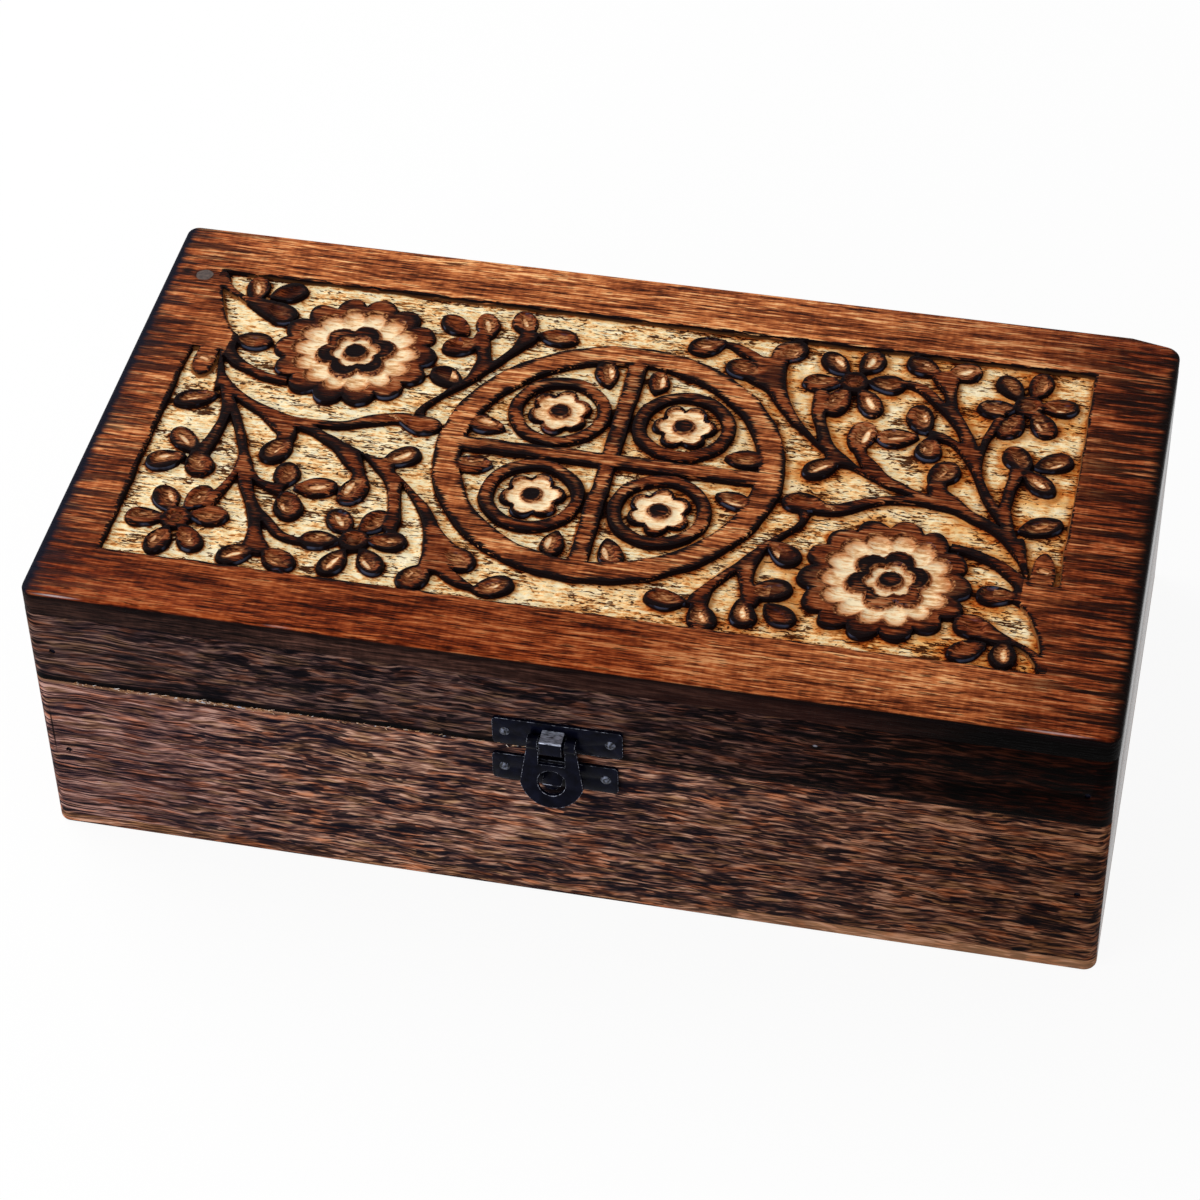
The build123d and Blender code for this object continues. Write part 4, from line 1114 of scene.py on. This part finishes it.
def splinter_tree():
    """Geometry Nodes tree: torn fibres along a line, each turned, moved and sized by chance."""
    tree = bpy.data.node_groups.new("splinters", "GeometryNodeTree")
    for name, kind in (("Geometry", "Geometry"), ("Count", "Int"), ("Start", "Vector"),
                       ("End", "Vector"), ("Spread", "Vector"), ("Least", "Vector"),
                       ("Most", "Vector"), ("Seed", "Int"), ("Material", "Material")):
        tree.interface.new_socket(name, in_out="INPUT", socket_type="NodeSocket" + kind)
    tree.interface.new_socket("Geometry", in_out="OUTPUT", socket_type="NodeSocketGeometry")
    given = tree.nodes.new("NodeGroupInput").outputs
    line = add(tree, "GeometryNodeMeshLine", {
        "Count": given["Count"], "Start Location": given["Start"], "Offset": given["End"]},
        mode="END_POINTS")
    back = add(tree, "VectorMath", (given["Spread"], (-1, -1, -1)), operation="MULTIPLY")
    number = add(tree, "GeometryNodeInputIndex")
    ranges = ((back, given["Spread"]), (given["Least"], given["Most"]),
              ((-0.4, 1.15, -0.5), (0.4, 1.95, 0.5)))
    moved, size, turn = (add(tree, "FunctionNodeRandomValue",
                             {0: low, 1: high, "Seed": given["Seed"], "ID": number},
                             data_type="FLOAT_VECTOR") for low, high in ranges)
    line = add(tree, "GeometryNodeSetPosition", {"Geometry": line, "Offset": moved})
    sliver = add(tree, "GeometryNodeMeshCone", {
        "Vertices": 5, "Radius Top": 0.12, "Radius Bottom": 0.5, "Depth": 1.0})
    laid = add(tree, "GeometryNodeInstanceOnPoints", {
        "Points": line, "Instance": sliver, "Rotation": turn, "Scale": size})
    real = add(tree, "GeometryNodeRealizeInstances", {"Geometry": laid})
    done = add(tree, "GeometryNodeSetMaterial", {"Geometry": real, "Material": given["Material"]})
    end = tree.nodes.new("NodeGroupOutput")
    tree.links.new(done, end.inputs[0])
    return tree


def splinters(name, tree, body, values):
    """Plain mesh of the splinters that the tree makes from these inputs."""
    piece = new_piece(name, bpy.data.meshes.new(name))
    modifier = piece.modifiers.new("splinters", "NODES")
    modifier.node_group = tree
    for item in tree.interface.items_tree:
        if item.in_out == "INPUT" and item.name in values:
            modifier[item.identifier] = values[item.name]
    baked(piece)
    piece.data.shade_flat()
    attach(piece, body)


# Stage


def add_camera():
    """Camera at the photograph's view."""
    data = bpy.data.cameras.new("camera")
    data.lens = lens
    data.sensor_width = sensor
    camera = bpy.data.objects.new("camera", data)
    bpy.context.scene.collection.objects.link(camera)
    camera.location = Vector(camera_place) * MM
    look = Vector(camera_way).to_track_quat("-Z", "Y")
    camera.rotation_mode = "QUATERNION"
    camera.rotation_quaternion = look @ Quaternion((0, 0, 1), radians(camera_roll))
    bpy.context.scene.camera = camera


def seen_directly(tree):
    """1 for camera, glossy and transmission rays."""
    seen = 0.0
    for ray in ("Is Camera Ray", "Is Glossy Ray", "Is Transmission Ray"):
        seen = add(tree, "Math", (add(tree, "LightPath", out=ray), seen), operation="MAXIMUM")
    return seen


def add_world():
    """Soft white surroundings, whiter to the camera and in reflections than as a light."""
    world = bpy.data.worlds.new("studio")
    bpy.context.scene.world = world
    world.use_nodes = True
    tree = world.node_tree
    tree.nodes.clear()
    strength = add(tree, "MapRange", (seen_directly(tree), 0.0, 1.0, 0.55, 1.0))
    light = add(tree, "Background", ((1, 1, 1, 1), strength))
    add(tree, "OutputWorld", (light,))


def add_lamp(name, place, aim, size, watts):
    """Soft box, its place, aim and size in metres."""
    data = bpy.data.lights.new(name, "AREA")
    data.shape = "RECTANGLE"
    data.size, data.size_y = size
    data.energy = watts
    lamp = bpy.data.objects.new(name, data)
    bpy.context.scene.collection.objects.link(lamp)
    lamp.location = place
    lamp.rotation_mode = "QUATERNION"
    lamp.rotation_quaternion = (Vector(aim) - Vector(place)).to_track_quat("-Z", "Y")


def add_floor():
    """White paper under the box, which shows white and keeps the box's shadow."""
    material, tree = new_material("white_paper")
    matt = add(tree, "BsdfDiffuse", (paint("#f4f4f4"),))
    glow = add(tree, "Emission", ((1, 1, 1, 1), 1.0))
    share = add(tree, "Math", (seen_directly(tree), 0.92), operation="MULTIPLY")
    mixed = add(tree, "MixShader", (share, matt, glow))
    add(tree, "OutputMaterial", (mixed,))
    size = 4.0
    mesh = bpy.data.meshes.new("floor")
    corners = [(-size, -size, 0), (size, -size, 0), (size, size, 0), (-size, size, 0)]
    mesh.from_pydata(corners, [], [(0, 1, 2, 3)])
    floor = new_piece("floor", mesh)
    give(floor, material)


bpy.context.scene.view_settings.view_transform = "Standard"
add_camera()
add_world()
add_lamp("soft_box_behind", (-1.0, 0.5, 0.95), aim=(0, 0, 0.05), size=(1.0, 0.8), watts=11)
add_lamp("soft_box_left", (-0.7, -0.9, 0.5), aim=(0, 0, 0.04), size=(0.8, 0.8), watts=7)
add_floor()

# Finishes of the walls; shadow is painted black on the wood round the clasp and behind its hole
painted_clasp_shadow = [((clasp_x, front, 53), (9, 6, 13), 0.45, 0.96, "#040307"),
         ((clasp_x, front, 43), (5.4, 6, 6.5), 0.4, 0.97, "#040307")]
base_tones = ("#16121a", "#402c2c", "#65473f", "#8f6757", "#c79d88")
base_shades = [(0, -40, 150, 60, 0.8, "#b0916a", STAIN, None),
               (0, -62, -104, -40, 0.8, "#dddcf0", STAIN, None),
               (2, 53.6, 54.4, 0.9, 0.45, "#a5795a", COLOUR, (-52, -84))]
base_marks = painted_clasp_shadow + [((-137.9, front, 36), (0.4, 5, 10.5), 0.6, 0.9, "#130b0d")]
lid_tones = ("#0b090f", "#22181a", "#352526", "#503935", "#7e6055")
lid_shades = [(0, -30, 110, 60, 0.85, "#96663f", STAIN, None),
              (0, 60, 126, 40, 0.95, "#7c553d", STAIN, None),
              # Black along the lid's lower edge and rim at the seam: a dark joint, with the shadow of the
              # gap painted into it
              (2, 57.1, 56.3, 0.9, 0.96, "#030204", COLOUR, (30, -10)),
              (2, 56.0, 55.5, 0.4, 0.9, "#050303", COLOUR, None)]
# The pale blue-white flecks on the lid's front are painted highlights of its lacquer
lid_marks = painted_clasp_shadow + [((66, front, 70), (0.8, 5, 0.5), 0.7, 0.55, "#9a9aa6"),
                     ((-53, front, 79.2), (1.3, 5, 0.4), 0.7, 0.6, "#9aa0b4"),
                     ((20, front, 85), (2.2, 5, 0.35), 0.7, 0.7, "#a9adc0")]
dull, lacquered = (0.55, 0.015), (0.25, 0.4)
base_wood = wall_mango("stained_mango_base", base_tones, "#0d0c15", base_shades, base_marks, dull)
base_end = wall_mango("lacquered_mango_base", base_tones, "#0d0c15", base_shades, (), lacquered)
lid_wood = wall_mango("stained_mango_lid", lid_tones, "#060509", lid_shades, lid_marks, dull)
lid_end = wall_mango("lacquered_mango_lid", lid_tones, "#060509", lid_shades, (), lacquered)
bottom_wood = wall_mango("stained_mango_bottom", ("#30201d", "#573c34", "#785443", "#a1745c", "#cb9c84"),
                         "#22161a", [(0, 30, 80, 40, 0.5, "#a87a58", COLOUR, None)])

# Other finishes
black = japanned_iron()
rubbed_and_highlit_top = rubbed_and_highlit_iron("rubbed_and_highlit_iron_top", 0.3, 0.62)
rubbed_and_highlit_rim = rubbed_and_highlit_iron("rubbed_and_highlit_iron_rim", 0.47, 0.62)
bare = bare_mango()
brass = brass_washed_steel()
nail = worn_nail()

board = top_board()
give(board, carved_mango())
board.data.materials.append(bare)
underside = board.data.polygons[-1]
underside.material_index = 1
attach(board, "lid")
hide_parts("lid_top_board")

filler = filler_disc(nail_x, nail_y, nail_radius)
give(filler, wood_filler())
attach(filler, "lid")
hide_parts("top_board_nail")

# Outer ends are lacquered; the inside, and the rims where the box was sawn open, stayed bare
skin_depth, rim_height, end_depth = 2, 1, 0.2
for part, skin, end in (("base", base_wood, base_end), ("lid", lid_wood, lid_end)):
    for side in ("front", "back", "left", "right"):
        piece = eased(f"{part}_{side}_board", part, board_ease, [skin])
        piece.data.materials.append(bare)
        piece.data.materials.append(end)
        for face in piece.data.polygons:
            x, y, z = face.center / MM
            within = abs(x) < half_length - skin_depth and abs(y) < half_width - skin_depth
            inside = within and abs(face.normal.z) < 0.5
            rim = abs(z - seam) < rim_height and abs(face.normal.z) > 0.9
            if inside or rim:
                face.material_index = 1
            elif abs(x) > half_length - end_depth and abs(face.normal.x) > 0.95:
                face.material_index = 2

# The bottom panel is bare on top
floor_board = eased("bottom_panel", "base", bottom_ease, [bottom_wood])
floor_board.data.materials.append(bare)
for face in floor_board.data.polygons:
    face.material_index = int(face.normal.z > 0.9)

# The clasp is rubbed along its edges and most of all on top of the strap; the bare grey there is also
# painted highlight, most on the strap's faces that look up
for name, body, ease in (("clasp_catch_plate", "base", plate_ease),
                         ("clasp_hasp_plate", "lid", plate_ease), ("clasp_hasp", "hasp", hasp_ease)):
    piece = eased(name, body, ease, [black, rubbed_and_highlit_rim])
    piece.data.materials.append(rubbed_and_highlit_top)
    for face in piece.data.polygons:
        strap_top = face.normal.z > 0.4 and face.center.y < (front - strap_from) * MM
        if body == "lid" and strap_top:
            face.material_index = 2

# Torn fibres in the seam: each run's name, its ends along X, how many, and its seed
torn = splinter_tree()
pale_fibre = torn_fibre()
fibre_y, fibre_z = (front - 0.1) * MM, (seam - 0.35) * MM
runs = (("splinters_left", -131, -99, 46, 1), ("splinters_mid", -100, -77, 60, 2),
        ("splinters_right", -77, -8, 40, 3))
for name, x0, x1, count, seed in runs:
    splinters(name, torn, "base", {
        "Count": count, "Start": (x0 * MM, fibre_y, fibre_z), "End": (x1 * MM, fibre_y, fibre_z),
        "Spread": (1.4 * MM, 0.15 * MM, 0.3 * MM), "Least": (0.12 * MM, 0.16 * MM, 0.7 * MM),
        "Most": (0.34 * MM, 0.4 * MM, 2.6 * MM), "Seed": seed, "Material": pale_fibre})

# Finishes of the pieces that are taken from the frame as they are
for name, node_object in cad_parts.items():
    if "divider" in name:
        give(node_object, bare)
    elif name.startswith("hinge"):
        give(node_object, brass)
    elif name.endswith(("corner_nails", "bottom_nails")):
        give(node_object, black)
    elif name.endswith("nails"):
        give(node_object, nail)
